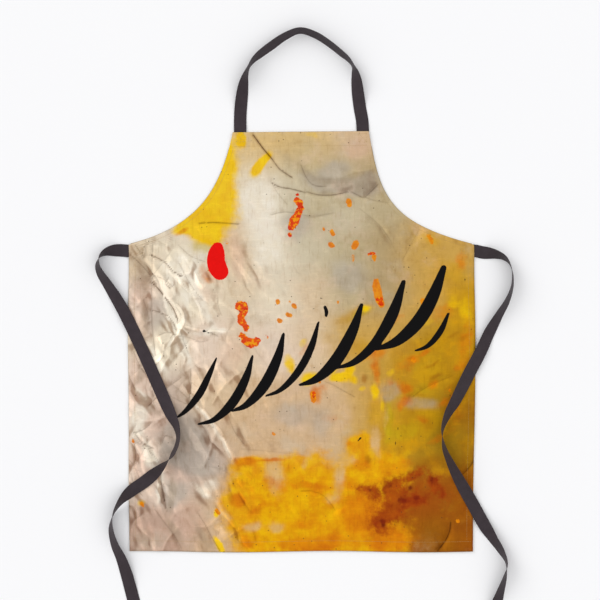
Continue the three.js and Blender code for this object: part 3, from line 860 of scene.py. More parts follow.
# Each paint's patches, with a Patch's numbers in each row.
PATCHES: dict[str, Rows] = {
    "blush": (
        (-318, -45, 26, 60), (-322, -180, 22, 60), (-300, -255, 26, 40, 30), (-318, -335, 22, 50),
        (-255, -365, 40, 18, -20), (-290, -500, 60, 26), (-225, -455, 40, 34, 20, 0.8),
        (-130, 60, 16, 50, 0, 0.8), (-200, 0, 18, 34, 30, 0.8), (110, 285, 26, 26, 0, 0.9),
        (-150, -150, 30, 60, -30, 0.7),
    ),
    "ash": (
        # The patches at -235, -290 and -205, -345, beside the left tie, are painted shadow of the tie over the
        # print's grey.
        (-285, -45, 24, 46, -30), (-235, -290, 44, 40, 0), (-205, -345, 60, 26, -15),
        (-10, 130, 34, 26, 0, 0.8), (95, 205, 60, 14, 0), (60, 235, 40, 20, 14, 0.9),
        (20, 215, 26, 12, -30, 0.7), (130, 214, 30, 12, 24, 0.8), (95, 30, 40, 34, 0, 0.75),
        (-20, -250, 40, 24, 0, 0.7), (40, -270, 26, 34, 0, 0.6), (-265, -410, 34, 22, 20),
        (170, -205, 26, 18, 30), (235, -230, 34, 14, 0, 0.9),
    ),
    # These patches are painted shade along the folds on the bib and down the left side.
    "smoke": (
        (38, 222, 34, 7, -14, 0.9), (92, 212, 40, 12, 6, 0.9), (132, 204, 16, 18, 30, 0.8),
        (8, 236, 8, 22, 26, 0.8), (-30, 262, 10, 24, 36, 0.4), (30, 148, 34, 5, 4, 0.6),
        (-318, 36, 14, 40, 0, 0.7), (-312, -50, 7, 60, 0, 0.7), (-272, 22, 6, 26, 36, 0.6),
        (-252, -20, 6, 30, 30, 0.6), (-322, -170, 10, 34, -24, 0.7), (-296, -236, 10, 22, 40, 0.6),
        (-214, -300, 34, 20, 0, 0.4), (-302, -320, 8, 34, 30, 0.6), (-262, -404, 8, 40, -4, 0.7),
        (-256, -484, 12, 40, 32, 0.8), (-198, -486, 9, 34, 28, 0.7), (-310, -500, 30, 18, 0, 0.6),
        (-90, -60, 30, 8, -10, 0.3), (180, 108, 10, 30, -34, 0.3),
    ),
    # The broad patches on the bib are pale print; the narrow streaks on the left, and down the left of the
    # gold, are painted highlights along ridges of the printed crumple.
    "cream": (
        (-250, 40, 20, 38, -28), (-222, 15, 12, 60, -25), (-262, -60, 9, 55, 12),
        (-238, -110, 8, 50, 20, 0.9), (-290, -140, 14, 40, 35, 0.9), (-84, 170, 40, 56, 0, 0.8),
        (-70, 100, 34, 60, 0, 0.7), (-325, -260, 14, 40, -20, 0.9), (-300, -330, 12, 36, 25, 0.9),
        (-178, -392, 20, 12, 30, 0.6), (-200, -404, 26, 7, -38, 0.7), (-188, -258, 5, 44, 34, 0.7),
        (-150, -318, 4, 30, 24, 0.6), (-236, -66, 6, 26, -10, 0.9), (-258, -100, 5, 18, -30, 0.8),
        (-206, -14, 9, 40, 26, 0.8), (-184, -60, 8, 34, 14, 0.7), (-180, -84, 40, 6, 2, 0.8),
        (-270, 44, 22, 12, -30, 0.7), (-286, -180, 6, 26, 10, 0.7), (-318, -214, 20, 6, -34, 0.7),
        (-332, -262, 8, 22, 0, 0.7), (-286, -396, 5, 34, -4, 0.8),
    ),
    "mustard": (
        (325, -35, 40, 60), (300, 40, 34, 20, 20, 0.8), (255, 105, 22, 14, -30, 0.7), (310, -110, 50, 40),
        (215, -130, 44, 34), (255, -180, 60, 30, 20), (330, -170, 24, 50), (105, -50, 40, 12, 20, 0.8),
        (120, -120, 30, 20, 0, 0.8), (180, -290, 34, 50), (230, -270, 50, 30, 20), (150, -240, 12, 40),
    ),
    "stained": (
        (310, -60, 90, 120), (230, -180, 90, 90), (290, -330, 110, 150), (180, -280, 50, 60),
        (120, -440, 160, 80), (-30, -440, 110, 70), (60, -165, 80, 30, 0, 0.7), (130, -60, 60, 30, 20, 0.6),
    ),
    "citron": (
        (-194, 88, 22, 16, -15, 0.9), (174, -258, 9, 36, 0, 0.9), (205, -280, 30, 18, 10, 0.6),
        (230, -200, 40, 14, 25, 0.5), (118, -48, 30, 8, 20, 0.6), (160, -420, 14, 40, 0, 0.4),
    ),
    "yellow": (
        (-156, 288, 20, 26, 4, 0.9), (-162, 246, 29, 34), (-170, 200, 38, 38), (-190, 160, 56, 32, -10),
        (-206, 130, 46, 18, -16), (-190, 112, 30, 22, -30), (-82, 252, 9, 24, -38, 1.0),
        (-68, 266, 12, 8, 20, 0.8), (-119, 304, 13, 16, 0, 0.85), (-240, 118, 22, 9, -16, 0.6),
        (22, 304, 20, 9, 0, 0.45), (-24, -148, 11, 26, 24, 0.7), (18, -176, 20, 13, 16, 0.8),
        (74, -172, 20, 10, 14, 0.85), (60, -154, 9, 16, -20, 0.65), (98, -158, 14, 10, 24, 0.75),
        (104, -176, 10, 7, -30, 0.6), (144, -206, 9, 17, 8, 0.7), (160, -230, 7, 18, -10, 0.55),
        (6, -106, 14, 9, 30, 0.55), (120, -196, 10, 8, 0, 0.5), (180, -170, 14, 8, 30, 0.45),
        (250, -60, 16, 12, 30, 0.45), (300, -20, 14, 20, -20, 0.5), (280, -130, 12, 22, 0, 0.35),
        (200, -330, 26, 14, 20, 0.4), (-40, -60, 22, 14, 0, 0.25), (-319, -430, 12, 10, 0, 0.55),
        (-167, -444, 9, 8, 0, 0.7), (-166, -508, 8, 22, 26, 0.9), (128, -38, 12, 9, 0, 0.7),
        (330, -40, 18, 40, 0, 0.5), (-20, -455, 60, 22, 0, 0.75), (-60, -430, 30, 20, 0, 0.75),
        (-66, -505, 40, 14, 0, 0.8), (30, -500, 30, 22, 0, 0.6), (95, -440, 22, 40, 0, 0.55),
        (330, -330, 14, 60, 0, 0.35),
    ),
    "gold": (
        (-104, -352, 35, 17), (-104, -392, 32, 26), (-108, -424, 44, 24), (-84, -464, 54, 36),
        (-62, -506, 56, 24), (-8, -362, 34, 34), (-4, -420, 72, 46), (32, -376, 26, 46), (60, -450, 80, 54),
        (40, -506, 110, 30), (116, -352, 24, 50), (118, -308, 26, 16, 20), (130, -410, 60, 54),
        (172, -360, 34, 40, 0, 0.9), (130, -500, 66, 34),
    ),
    "linen": (
        (-54, -376, 16, 28, 6), (-97, -470, 18, 8, 0, 0.8), (-49, -472, 13, 10, 0, 0.8),
        (77, -376, 11, 34, -8, 0.95), (96, -338, 14, 10, 0, 0.6), (149, -298, 8, 28, 3, 0.95),
        (168, -252, 6, 26, 0, 0.4), (10, -345, 8, 12, 0, 0.5), (60, -420, 14, 9, 0, 0.5),
    ),
    "orange": (
        (-114, -346, 20, 10, -8), (-60, -342, 34, 4, 6, 0.9), (-126, -420, 14, 14, 0, 0.9),
        (-112, -500, 12, 20, 30, 0.9), (-40, -398, 10, 8, 0, 0.7), (55, -505, 26, 20, 0, 0.9),
        (20, -518, 20, 10, 0, 0.7), (130, -448, 54, 46, 0, 0.9), (172, -498, 46, 26, 0, 0.85),
        (180, -350, 40, 20, 0, 0.5), (-70, -390, 20, 16, 0, 0.5), (-90, -440, 26, 8, 20, 0.6),
        (-10, -510, 40, 12, 0, 0.7), (40, -400, 16, 10, 30, 0.6), (100, -310, 14, 8, 0, 0.6),
        (280, -40, 26, 18, 20, 0.5), (215, -150, 30, 14, 30, 0.4), (120, -345, 16, 12, 0, 0.6),
        (100, -395, 24, 10, -20, 0.6), (10, -392, 50, 6, -8, 0.7), (10, -120, 24, 8, 30, 0.45),
        (40, -200, 16, 8, 20, 0.5), (150, -130, 26, 8, 30, 0.45), (190, -60, 22, 8, 30, 0.4),
        (60, -255, 20, 10, 0, 0.3), (25, -212, 10, 18, 0, 0.9), (153, -120, 10, 16, 0, 0.9),
        (150, -165, 6, 28, 0, 0.85), (207, -196, 14, 12, 0, 0.85), (209, -226, 14, 12, 0, 0.85),
        (225, -140, 10, 8, 0, 0.8), (-185, 30, 14, 22, 40, 0.55), (-238, 116, 16, 6, 20, 0.6),
        (330, -110, 16, 50, 0, 0.55), (300, -240, 24, 40, 0, 0.4), (0, -470, 40, 14, 0, 0.5),
        (322, 60, 12, 20, 0, 0.6), (264, -188, 12, 7, 25, 0.7), (201, -240, 8, 9, 0, 0.6),
        (316, -153, 9, 8, 0, 0.7), (248, -128, 14, 5, 35, 0.6), (286, -222, 16, 6, 30, 0.6),
        (240, -262, 10, 7, 0, 0.55), (176, -186, 8, 6, 0, 0.55), (270, -296, 20, 7, 25, 0.55),
    ),
    "brown": (
        (262, -150, 20, 3, 38, 0.6), (296, -196, 12, 4, 30, 0.6), (236, -208, 6, 5, 0, 0.6),
        (322, -96, 7, 6, 0, 0.6), (332, -340, 20, 60, 0, 0.5), (325, -450, 28, 70),
        (262, -345, 26, 14, 20, 0.7), (290, -505, 44, 20), (225, -470, 26, 16, 0, 0.5),
        (269, -174, 14, 5, 32, 0.9), (127, -177, 6, 7, 0, 0.9), (221, -138, 7, 5, 0, 0.6),
        (131, -340, 6, 6, 0, 0.8), (250, -268, 12, 9, 0, 0.6), (300, -90, 14, 4, 35, 0.6),
        (312, -250, 8, 6, 0, 0.7), (-322, 20, 16, 50, 0, 0.3), (-312, -60, 9, 60, 0, 0.25),
    ),
    "rust": (
        (141, -402, 28, 13, -15, 0.85), (182, -396, 18, 24, 0, 0.9), (216, -372, 32, 10, 15, 0.8),
        (263, -384, 15, 19, -30, 0.9), (282, -404, 8, 13, -20, 0.8), (200, -422, 26, 18, 20, 0.95),
        (232, -418, 16, 14, 0, 0.85), (162, -460, 28, 26, 20, 0.9), (186, -440, 20, 22, 30, 0.85),
    ),
    "garnet": (
        (203, -424, 9, 6, 20, 0.9), (160, -468, 7, 9, 0, 0.9), (214, -398, 6, 5, 0, 0.8),
        (262, -380, 6, 10, -30, 0.7), (230, -414, 7, 5, 0, 0.7), (140, -400, 9, 4, -20, 0.6),
        (178, -388, 6, 8, 0, 0.6),
    ),
}


@dataclass(frozen=True)
class Stroke:
    """A mark with a crisp edge: a line of places, each with the mark's half width there."""

    points: Rows

    def depth(self, places: Array) -> Array:
        """How far inside its edge each place is, in metres, and negative outside."""
        return reach_inside(places, catmull_rom(np.array(self.points) * MM, 6))


def reach_inside(places: Array, line: Array) -> Array:
    """How far each place is inside a line that has a half width.

    Args:
        places: Rows of x and y.
        line: Rows of x, y and half width.

    Returns:
        The depth inside the edge, negative outside.
    """
    best = np.full(len(places), -np.inf)
    for start, end in zip(line[:-1], line[1:]):
        step = end[:2] - start[:2]
        share = np.clip((places - start[:2]) @ step / max(step @ step, 1e-12), 0, 1)
        nearest = start[:2] + share[:, None] * step
        width = start[2] + share * (end[2] - start[2])
        best = np.maximum(best, width - np.linalg.norm(places - nearest, axis=1))
    return best


# Each crisp paint's marks: rows of x, y and half width.
STROKES: dict[str, tuple[Rows, ...]] = {
    "red": (((-168, 85, 11), (-170, 72, 16.5), (-171, 58, 18), (-168, 46, 18.5), (-163, 37, 17)),),
    "coral": (
        ((-9, 191, 3.2), (-8, 190, 3.2)), ((-11, 181, 5.0), (-6, 176, 6.5), (-2, 167, 5.0)),
        ((-3, 162, 7.0), (-6, 152, 7.0), (-13, 141, 9.0), (-17, 131, 9.5), (-20, 124, 5.5)),
        ((-24, 111, 4.2), (-22, 109, 3.2)), ((-124, -33, 9.0), (-118, -34, 11.0), (-116, -41, 9.0)),
        ((-116, -49, 5.0), (-122, -56, 7.0), (-119, -64, 7.5), (-112, -73, 7.0), (-110, -78, 5.0)),
        ((-120, -88, 4.5), (-116, -97, 7.0), (-107, -104, 10.0), (-96, -105, 9.0), (-86, -101, 6.0)),
        ((136, 72, 2.6), (143, 73, 2.8), (150, 72, 2.4)), ((156, -20, 6.0), (160, -29, 5.0)),
        ((24, -208, 4.5), (26, -213, 4.5)), ((-69, -94, 3.0), (-68, -96, 2.4)),
    ),
    "drop": (
        ((58, 91, 5.5), (62, 88, 4.5)), ((60, 118, 4.0), (63, 112, 4.5)), ((44, 123, 2.6), (45, 121, 2.4)),
        ((106, 87, 6.5), (109, 94, 6.0)), ((94, 178, 5.5), (96, 170, 5.0)),
        ((103, 68, 2.8), (103, 58, 2.4)), ((145, 67, 4.8), (146, 60, 2.6)),
        ((253, 109, 3.6), (254, 107, 3.6)), ((259, 101, 4.4), (260, 96, 4.8)),
        ((243, -22, 6.0), (247, -29, 6.5)), ((73, -24, 2.6), (73, -25, 2.6)),
        ((149, 18, 5.5), (150, 6, 8.0), (153, -8, 8.5), (156, -20, 8.0), (160, -30, 6.0)),
        ((-48, -22, 4.2), (-47, -25, 4.0)), ((-24, -23, 2.6), (-23, -24, 2.4)),
        ((-16, -31, 4.6), (-13, -34, 3.8)), ((-28, -49, 4.6), (-22, -51, 4.2)),
        ((-45, -61, 4.8), (-42, -62, 4.2)), ((-149, 95, 2.6), (-148, 92, 2.6)),
        ((-56, -287, 3.2), (-55, -288, 3.0)), ((-170, -440, 3.4), (-166, -446, 4.0)),
        ((-320, -426, 4.0), (-316, -432, 3.0)), ((-338, -300, 2.0), (-336, -304, 2.0)),
        ((35, -181, 3.4), (36, -184, 3.0)), ((22, -208, 6.0), (24, -220, 5.5)),
        ((223, -139, 4.6), (226, -142, 3.8)), ((296, -200, 2.6), (298, -203, 2.6)),
        ((312, -460, 3.2), (313, -463, 2.8)), ((-187, 42, 2.0), (-186, 40, 2.0)),
    ),
    "ink": (
        ((-251, -256, 1.4), (-233, -243, 4.6), (-204, -208, 7.4), (-184, -168, 5.6), (-170, -136, 1.6)),
        ((-206, -268, 2.0), (-176, -260, 5.4), (-140, -228, 9.6), (-112, -178, 8.2), (-98, -132, 2.4)),
        ((-139, -242, 2.0), (-112, -231, 6.4), (-76, -193, 11.0), (-48, -136, 9.2), (-36, -88, 3.0)),
        ((-72, -212, 1.8), (-44, -201, 4.6), (-8, -165, 7.6), (20, -113, 7.0), (34, -64, 2.2)),
        ((-4, -190, 2.4), (28, -179, 7.6), (68, -142, 12.4), (102, -82, 10.6), (120, -30, 3.8)),
        ((70, -156, 2.2), (104, -145, 6.4), (146, -108, 9.8), (182, -48, 11.6), (204, 16, 4.6)),
        ((150, -118, 3.2), (190, -103, 9.6), (234, -62, 13.4), (264, -10, 12.2), (284, 44, 6.0)),
        ((226, -122, 1.6), (252, -112, 4.6), (278, -82, 6.2), (294, -46, 2.4)),
        ((-195, -82, 3.0), (-192, -83, 1.6), (-178, -89, 0.8)),
        ((47, -34, 3.2), (50, -44, 3.8), (49, -52, 2.8)), ((39, -16, 1.6), (41, -17, 1.4)),
        ((-70, -52, 1.5), (-68, -53, 1.3)), ((214, 46, 1.6), (216, 45, 1.3)),
        ((24, -38, 1.4), (26, -38, 1.2)), ((193, -276, 1.5), (194, -280, 1.2)),
        ((187, -303, 1.2), (188, -309, 1.0)), ((112, -302, 1.2), (119, -295, 2.0)),
        ((18, 0, 1.0), (19, 0, 0.9)), ((327, 22, 1.6), (328, 17, 1.2)),
    ),
}


@dataclass(frozen=True)
class Crease:
    """A crease in the cloth: a ridge, or a fold when its height is negative.

    Its line is how strongly a fold shows as a thin line of painted shade, and a ridge as a pale line of painted
    highlight.
    """

    points: tuple[Point, ...]
    height: float
    reach: float = 9.0
    line: float = 0.0

    def run(self) -> Array:
        """The places along the crease, in metres."""
        return catmull_rom(np.array(self.points) * MM, 4)

    def touched(self, places: Array) -> Array:
        """Which places are near enough for the crease to matter."""
        run = self.run()
        margin = 4.5 * self.reach * MM
        near = (places > run.min(axis=0) - margin) & (places < run.max(axis=0) + margin)
        return np.flatnonzero(near.all(axis=1))


def beside(places: Array, line: Array) -> Array:
    """How far each place is from a line.

    Args:
        places: Rows of x and y.
        line: Rows of x and y.

    Returns:
        The distances, positive on the line's left and negative on its right.
    """
    best = np.full(len(places), np.inf)
    for start, end in zip(line[:-1], line[1:]):
        step = end - start
        offset = places - start
        share = np.clip(offset @ step / max(step @ step, 1e-12), 0, 1)
        away = np.linalg.norm(offset - share[:, None] * step, axis=1)
        turn = step[0] * offset[:, 1] - step[1] * offset[:, 0]
        best = np.where(away < np.abs(best), np.copysign(away, turn), best)
    return best


# The main creases: their points in millimetres, height, reach and line.
CREASES = tuple(Crease(*row) for row in (
    (((-95, 308), (-76, 282), (-59, 262), (-46, 244), (-39, 238), (-21, 226)), -1.2, 10, 0.95),
    (((-59, 214), (-43, 206), (-20, 202), (7, 195)), -0.7, 7, 0.6),
    (((-61, 216), (-45, 190), (-29, 172)), -0.5, 8, 0.3),
    (((-204, 133), (-180, 135), (-160, 134), (-126, 132)), -0.6, 7, 0.7),
    (((-1, 250), (8, 228), (22, 211), (48, 206)), -1.1, 12, 0.45),
    (((10, 196), (36, 190), (62, 190), (92, 196)), -1.1, 10, 0.6),
    (((100, 196), (112, 190), (124, 185), (138, 196), (152, 210)), -1.2, 10, 0.55),
    (((128, 184), (150, 178), (172, 174)), -0.8, 9, 0.4),
    (((14, 205), (50, 202), (96, 207)), 1.0, 12, 0.25),
    (((76, 226), (104, 236), (140, 242)), 1.0, 12, 0.3),
    (((-10, 232), (4, 204), (30, 180)), 0.7, 12),
    (((-60, 150), (-48, 154), (-30, 156), (0, 152)), -0.9, 9, 0.4),
    (((4, 150), (24, 146), (42, 150), (64, 154)), -0.8, 10, 0.35),
    (((117, 162), (140, 144), (160, 124), (178, 98), (189, 74)), -0.7, 10, 0.3),
    (((203, 62), (218, 90), (236, 122)), -0.8, 9, 0.35),
    (((141, 144), (163, 122)), -0.6, 7, 0.3),
    (((-341, 70), (-318, 48), (-300, 26), (-290, 12)), -1.2, 8, 0.5),
    (((-300, 70), (-284, 62), (-273, 55), (-256, 38), (-240, 27)), -1.4, 8, 0.8),
    (((-298, 14), (-286, 2), (-272, -16), (-256, -38), (-246, -64)), -1.5, 9, 0.75),
    (((-298, -40), (-280, -46), (-262, -56), (-250, -80)), -1.2, 8, 0.5),
    (((-288, -92), (-268, -84), (-252, -90)), -0.9, 8, 0.4),
    (((-262, 34), (-240, 12), (-222, -6), (-206, -30), (-196, -66)), 1.7, 9, 0.6),
    (((-250, -30), (-238, -46), (-236, -66), (-246, -86), (-258, -104)), 1.5, 8, 0.8),
    (((-284, -98), (-276, -112), (-280, -132), (-292, -146)), 1.3, 7, 0.7),
    (((-230, -74), (-206, -80), (-180, -82), (-150, -84)), 1.3, 8, 0.6),
    (((-246, -92), (-222, -96), (-204, -104), (-186, -100)), -0.9, 8, 0.35),
    (((-316, -20), (-308, -44), (-304, -70)), -0.9, 8, 0.35),
    (((-334, -84), (-316, -100), (-300, -110)), 1.1, 8, 0.5),
    (((-240, -190), (-226, -206), (-204, -214)), 1.1, 8, 0.6),
    (((-330, -330), (-306, -342), (-286, -340)), 1.1, 8, 0.5),
    (((-320, -376), (-296, -380), (-262, -392)), -0.9, 9, 0.3),
    (((-298, 96), (-299, 40), (-300, -20), (-298, -80), (-292, -130)), -1.1, 10, 0.4),
    (((-194, -80), (-180, -86), (-168, -92)), -0.7, 6, 0.5),
    (((-262, -110), (-266, -134), (-280, -160), (-284, -190)), 1.2, 9, 0.4),
    (((-228, -104), (-244, -128), (-262, -150)), -1.0, 9, 0.3),
    (((-337, -120), (-324, -150), (-306, -178), (-296, -212)), -1.3, 10, 0.45),
    (((-342, -196), (-320, -214), (-300, -224), (-284, -240)), 1.3, 10, 0.3),
    (((-340, -250), (-314, -262), (-286, -258), (-262, -246)), 1.4, 10, 0.4),
    (((-336, -300), (-312, -316), (-296, -330), (-280, -352)), -1.2, 10, 0.35),
    (((-196, -240), (-176, -266), (-160, -286), (-146, -316), (-136, -338)), 1.2, 6, 0.7),
    (((-178, -306), (-150, -336), (-140, -356)), -0.8, 8, 0.3),
    (((-150, -120), (-176, -170), (-196, -232)), 0.9, 12, 0.25),
    (((-260, -350), (-244, -362), (-226, -384), (-200, -404), (-184, -412)), 1.2, 11, 0.3),
    (((-282, -362), (-280, -386), (-276, -410), (-270, -442)), -1.3, 8, 0.6),
    (((-288, -366), (-286, -390), (-282, -420)), 1.1, 7, 0.5),
    (((-292, -440), (-276, -462), (-256, -488), (-240, -516)), -1.5, 11, 0.4),
    (((-330, -440), (-306, -460), (-296, -486), (-292, -516)), 1.1, 12, 0.25),
    (((-206, -448), (-192, -470), (-182, -490), (-164, -520)), -1.3, 9, 0.45),
    (((-150, -440), (-134, -462), (-126, -484), (-118, -510)), -0.9, 9, 0.3),
    (((49, -184), (64, -190), (76, -197), (105, -213)), -0.9, 8, 0.4),
    (((221, -214), (240, -200), (262, -188), (300, -172)), -0.9, 9, 0.35),
    (((298, -466), (296, -482), (288, -500), (272, -521)), -1.6, 9, 0.9),
    (((318, -372), (334, -356), (345, -340)), -1.1, 8, 0.6),
    (((-120, -318), (-70, -322), (5, -330)), -0.5, 7, 0.3),
    (((205, -372), (236, -362), (262, -378), (284, -404)), -0.8, 10, 0.25),
    (((0, -402), (20, -402), (42, -410), (56, -424), (66, -438)), -0.8, 8, 0.4),
    (((160, -330), (164, -360), (160, -400), (158, -440)), 0.8, 9, 0.25),
    (((152, -100), (150, -160), (160, -200), (156, -260)), 0.8, 10, 0.3),
    (((30, 60), (60, 20), (96, -8)), -0.5, 12),
    (((-120, 250), (-90, 190), (-70, 120)), 0.8, 14),
))


@dataclass
class Print:
    """Everything that is printed on the cloth, and the painted shade and highlight among its washes, worked out
    at any places on it.
    """

    tint_reach: float = 46.0
    ink_scale: float = 10 * MM
    drift: float = 9 * MM
    drift_size: float = 60 * MM

    def drifted(self, places: Array) -> Array:
        """Moves places a little along soft noise, so that washes have wandering edges."""
        move = [fractal(places, self.drift_size, 4, seed) for seed in (3.1, 8.6)]
        return places + self.drift * np.stack(move, axis=1)

    def ground(self, places: Array) -> Array:
        """The ground's linear colour at each place, with an alpha of one."""
        total = np.full(len(places), 1e-6)
        colour = np.zeros((len(places), 4))
        for paint, spots in TINTS.items():
            for x, y, *reach in spots:
                away = np.hypot(places[:, 0] - x * MM, places[:, 1] - y * MM)
                weight = np.exp(-((away / ((reach or [self.tint_reach])[0] * MM)) ** 2)) + 1e-7
                total += weight
                colour += weight[:, None] * np.array(linear(paint.value))
        return colour / total[:, None]

    def washes(self, places: Array) -> dict[str, Array]:
        """How much of each soft paint lies at each place."""
        covers = {}
        for name, rows in PATCHES.items():
            bare = np.ones(len(places))
            for row in rows:
                bare *= 1 - Patch(*row).cover(places)
            covers[name] = 1 - bare
        return covers

    def marks(self, places: Array) -> dict[str, Array]:
        """The crisp marks, each 0.5 on its edge and higher inside."""
        marks = {}
        for name, lines in STROKES.items():
            depth = np.max([Stroke(line).depth(places) for line in lines], axis=0)
            marks[name] = np.clip(0.5 + depth / self.ink_scale, -0.5, 1.5)
        return marks


# --- Webbing ---

IN_SEAM = 1.1
ON_TABLE = 0.0
ON_PANEL = 4.1


def resting(height: float, *rows: tuple[float, float, float]) -> Rows:
    """Part of a strap's route.

    Args:
        height: The height that its lower edge rests at, in millimetres.
        rows: Two distances in millimetres, and the roll in degrees. At roll 0 the strap lies flat,
            and at 90 or -90 it stands on an edge.

    Returns:
        The rows with the height put in before the roll.
    """
    return tuple((first, second, height, roll) for first, second, roll in rows)


# The neck strap's route: x, distance above the bib's edge, and roll.
NECK_ROUTE = (
    *resting(IN_SEAM, (-122.5, -25, 0), (-122.5, 4, 0)),
    *resting(
        ON_TABLE,
        (-122.5, 28, 0), (-121, 52, -6), (-118, 78, -24), (-115, 97, -45), (-111, 113, -68),
        (-105, 128, -82), (-96, 141, -72), (-84, 152, -60), (-60, 170, -54), (-32, 189, -60),
        (-3, 200, -67), (28, 191, -65), (55, 174, -66), (79, 155, -68), (93, 143, -75), (102, 131, -82),
        (107, 116, -57), (110, 99, -34), (113, 74, -14), (117, 46, 0), (121, 24, 0),
    ),
    *resting(IN_SEAM, (122.5, 4, 0), (122.5, -25, 0)),
)

# The ties' routes from their sewn ends: distance out from the body's side, distance along y from the
# seam, and roll.
LEFT_TIE_ROUTE = (
    *resting(IN_SEAM, (-30, 0, 0), (2, 0, 0)),
    *resting(
        ON_TABLE,
        (18, 1, 4), (33, 0, 30), (47, -4, 60), (58, -13, 90), (62, -28, 115), (57, -44, 130),
        (41, -69, 145),
    ),
    *resting(
        ON_PANEL,
        (16, -110, 168), (-13, -168, 180), (-40, -227, 180), (-66, -286, 180), (-84, -326, 156),
        (-96, -352, 125), (-99, -375, 110), (-89, -404, 109), (-67, -430, 57), (-32, -461, 0),
        (-6, -479, 16), (16, -501, 62),
    ),
    *resting(
        ON_TABLE,
        (31, -528, 90), (35, -555, 116), (28, -586, 133), (15, -615, 150), (5, -645, 168), (-7, -690, 180),
        (-20, -742, 180), (-32, -795, 180),
    ),
)
RIGHT_TIE_ROUTE = (
    *resting(IN_SEAM, (-30, 0, 0), (2, 0, 0)),
    *resting(
        ON_TABLE,
        (16, -3, 0), (31, -5, -28), (45, -8, -50), (59, -14, -70), (70, -26, -90), (76, -47, -100),
        (75, -72, -107), (65, -101, -120), (49, -129, -135), (30, -164, -158),
    ),
    *resting(
        ON_PANEL,
        (13, -201, -168), (-9, -243, -174), (-37, -298, -155), (-54, -328, -130), (-64, -358, -105),
        (-61, -391, -75), (-49, -421, -56), (-29, -460, -28), (-5, -502, 0), (18, -544, -8),
    ),
    *resting(
        ON_TABLE,
        (36, -573, -42), (53, -599, -60), (64, -624, -86), (61, -649, -112), (51, -684, -138),
        (40, -722, -172), (33, -758, -180), (25, -795, -180),
    ),
)


@dataclass
class StrapRoute:
    """A strap's route over the table: its path in plan, and how it rests and rolls along it."""

    points: Array
    width: float = 25 * MM
    thickness: float = 1 * MM
    spacing: float = 2.5 * MM
    samples: int = 40
    plan: Array = field(init=False)
    rest: Array = field(init=False)
    roll: Array = field(init=False)
    distance: Array = field(init=False)
    length: float = field(init=False)

    def __post_init__(self) -> None:
        """Works out the curve and the distance along it at each sample."""
        self.plan = catmull_rom(self.points[:, :2], self.samples) * MM
        lie = catmull_rom(self.points[:, 2:], self.samples)
        self.rest = np.maximum(lie[:, 0], 0) * MM
        self.roll = np.radians(lie[:, 1])
        steps = np.linalg.norm(np.diff(self.plan, axis=0), axis=1)
        self.distance = np.concatenate([[0.0], np.cumsum(steps)])
        self.length = float(self.distance[-1])

    def read(self, values: Array, where: Array) -> Array:
        """The values along the route at some distances along it."""
        return np.interp(where, self.distance, values)

    def along(self, where: Array) -> tuple[Array, Array, Array]:
        """The strap's centres and its directions across and through at distances along it.

        Args:
            where: Distances in metres.

        Returns:
            Centres, directions across the width, and directions through the thickness.
        """
        flat = np.zeros_like(where)
        roll = self.read(self.roll, where)
        slope = np.gradient(self.plan, self.distance, axis=0, edge_order=1)
        heading = np.stack([self.read(slope[:, 0], where), self.read(slope[:, 1], where), flat], axis=1)
        heading /= np.linalg.norm(heading, axis=1, keepdims=True)
        right = np.stack([heading[:, 1], -heading[:, 0], flat], axis=1)
        across = right * np.cos(roll)[:, None]
        across[:, 2] = np.sin(roll)
        through = np.cross(heading, across)
        half = self.width / 2 * np.abs(np.sin(roll)) + self.thickness / 2 * np.abs(np.cos(roll))
        x, y = self.read(self.plan[:, 0], where), self.read(self.plan[:, 1], where)
        return np.stack([x, y, self.read(self.rest, where) + half], axis=1), across, through


# The upper half of a webbing's outline: places across its width and through its thickness, as
# shares of each half. The selvedges are round and a little thicker than the middle.
WEBBING_OUTLINE = (
    (-1.0, 0.35), (-0.975, 0.9), (-0.9, 1.0), (-0.8, 0.86), (-0.4, 0.84), (0.0, 0.86),
    (0.4, 0.84), (0.8, 0.86), (0.9, 1.0), (0.975, 0.9), (1.0, 0.35),
)


@dataclass
class Ribbon:
    """A length of webbing or thread that follows a strap's route."""

    route: StrapRoute
    start: float = 0.0
    end: float | None = None
    width: float = 25 * MM
    thickness: float = 1 * MM
    lift: float = 0.0

    def places(self) -> Array:
        """The distances along the route at which the ribbon has an outline."""
        end = self.route.length if self.end is None else self.end
        count = max(3, round((end - self.start) / self.route.spacing) + 1)
        return np.linspace(self.start, end, count)

    def build(self, name: str, material: bpy.types.Material) -> bpy.types.Object:
        """Makes the ribbon.

        Args:
            name: The piece's name.
            material: Its finish.

        Returns:
            A closed mesh with its pattern map.
        """
        where = self.places()
        centre, across, through = self.route.along(where)
        centre = centre + np.array([0, 0, self.lift])
        upper = np.array(WEBBING_OUTLINE) / 2
        outline = np.concatenate([upper * (1, -1), upper[::-1]])
        side = outline[None, :, :1] * self.width
        face = outline[None, :, 1:] * self.thickness
        points = centre[:, None] + side * across[:, None] + face * through[:, None]
        pattern = np.stack(np.broadcast_arrays(side[..., 0], where[:, None]), axis=2)
        piece = Skin(points, pattern, closed_across=True).build(name, material)
        close_ends(piece)
        return piece


# --- Cloth ---


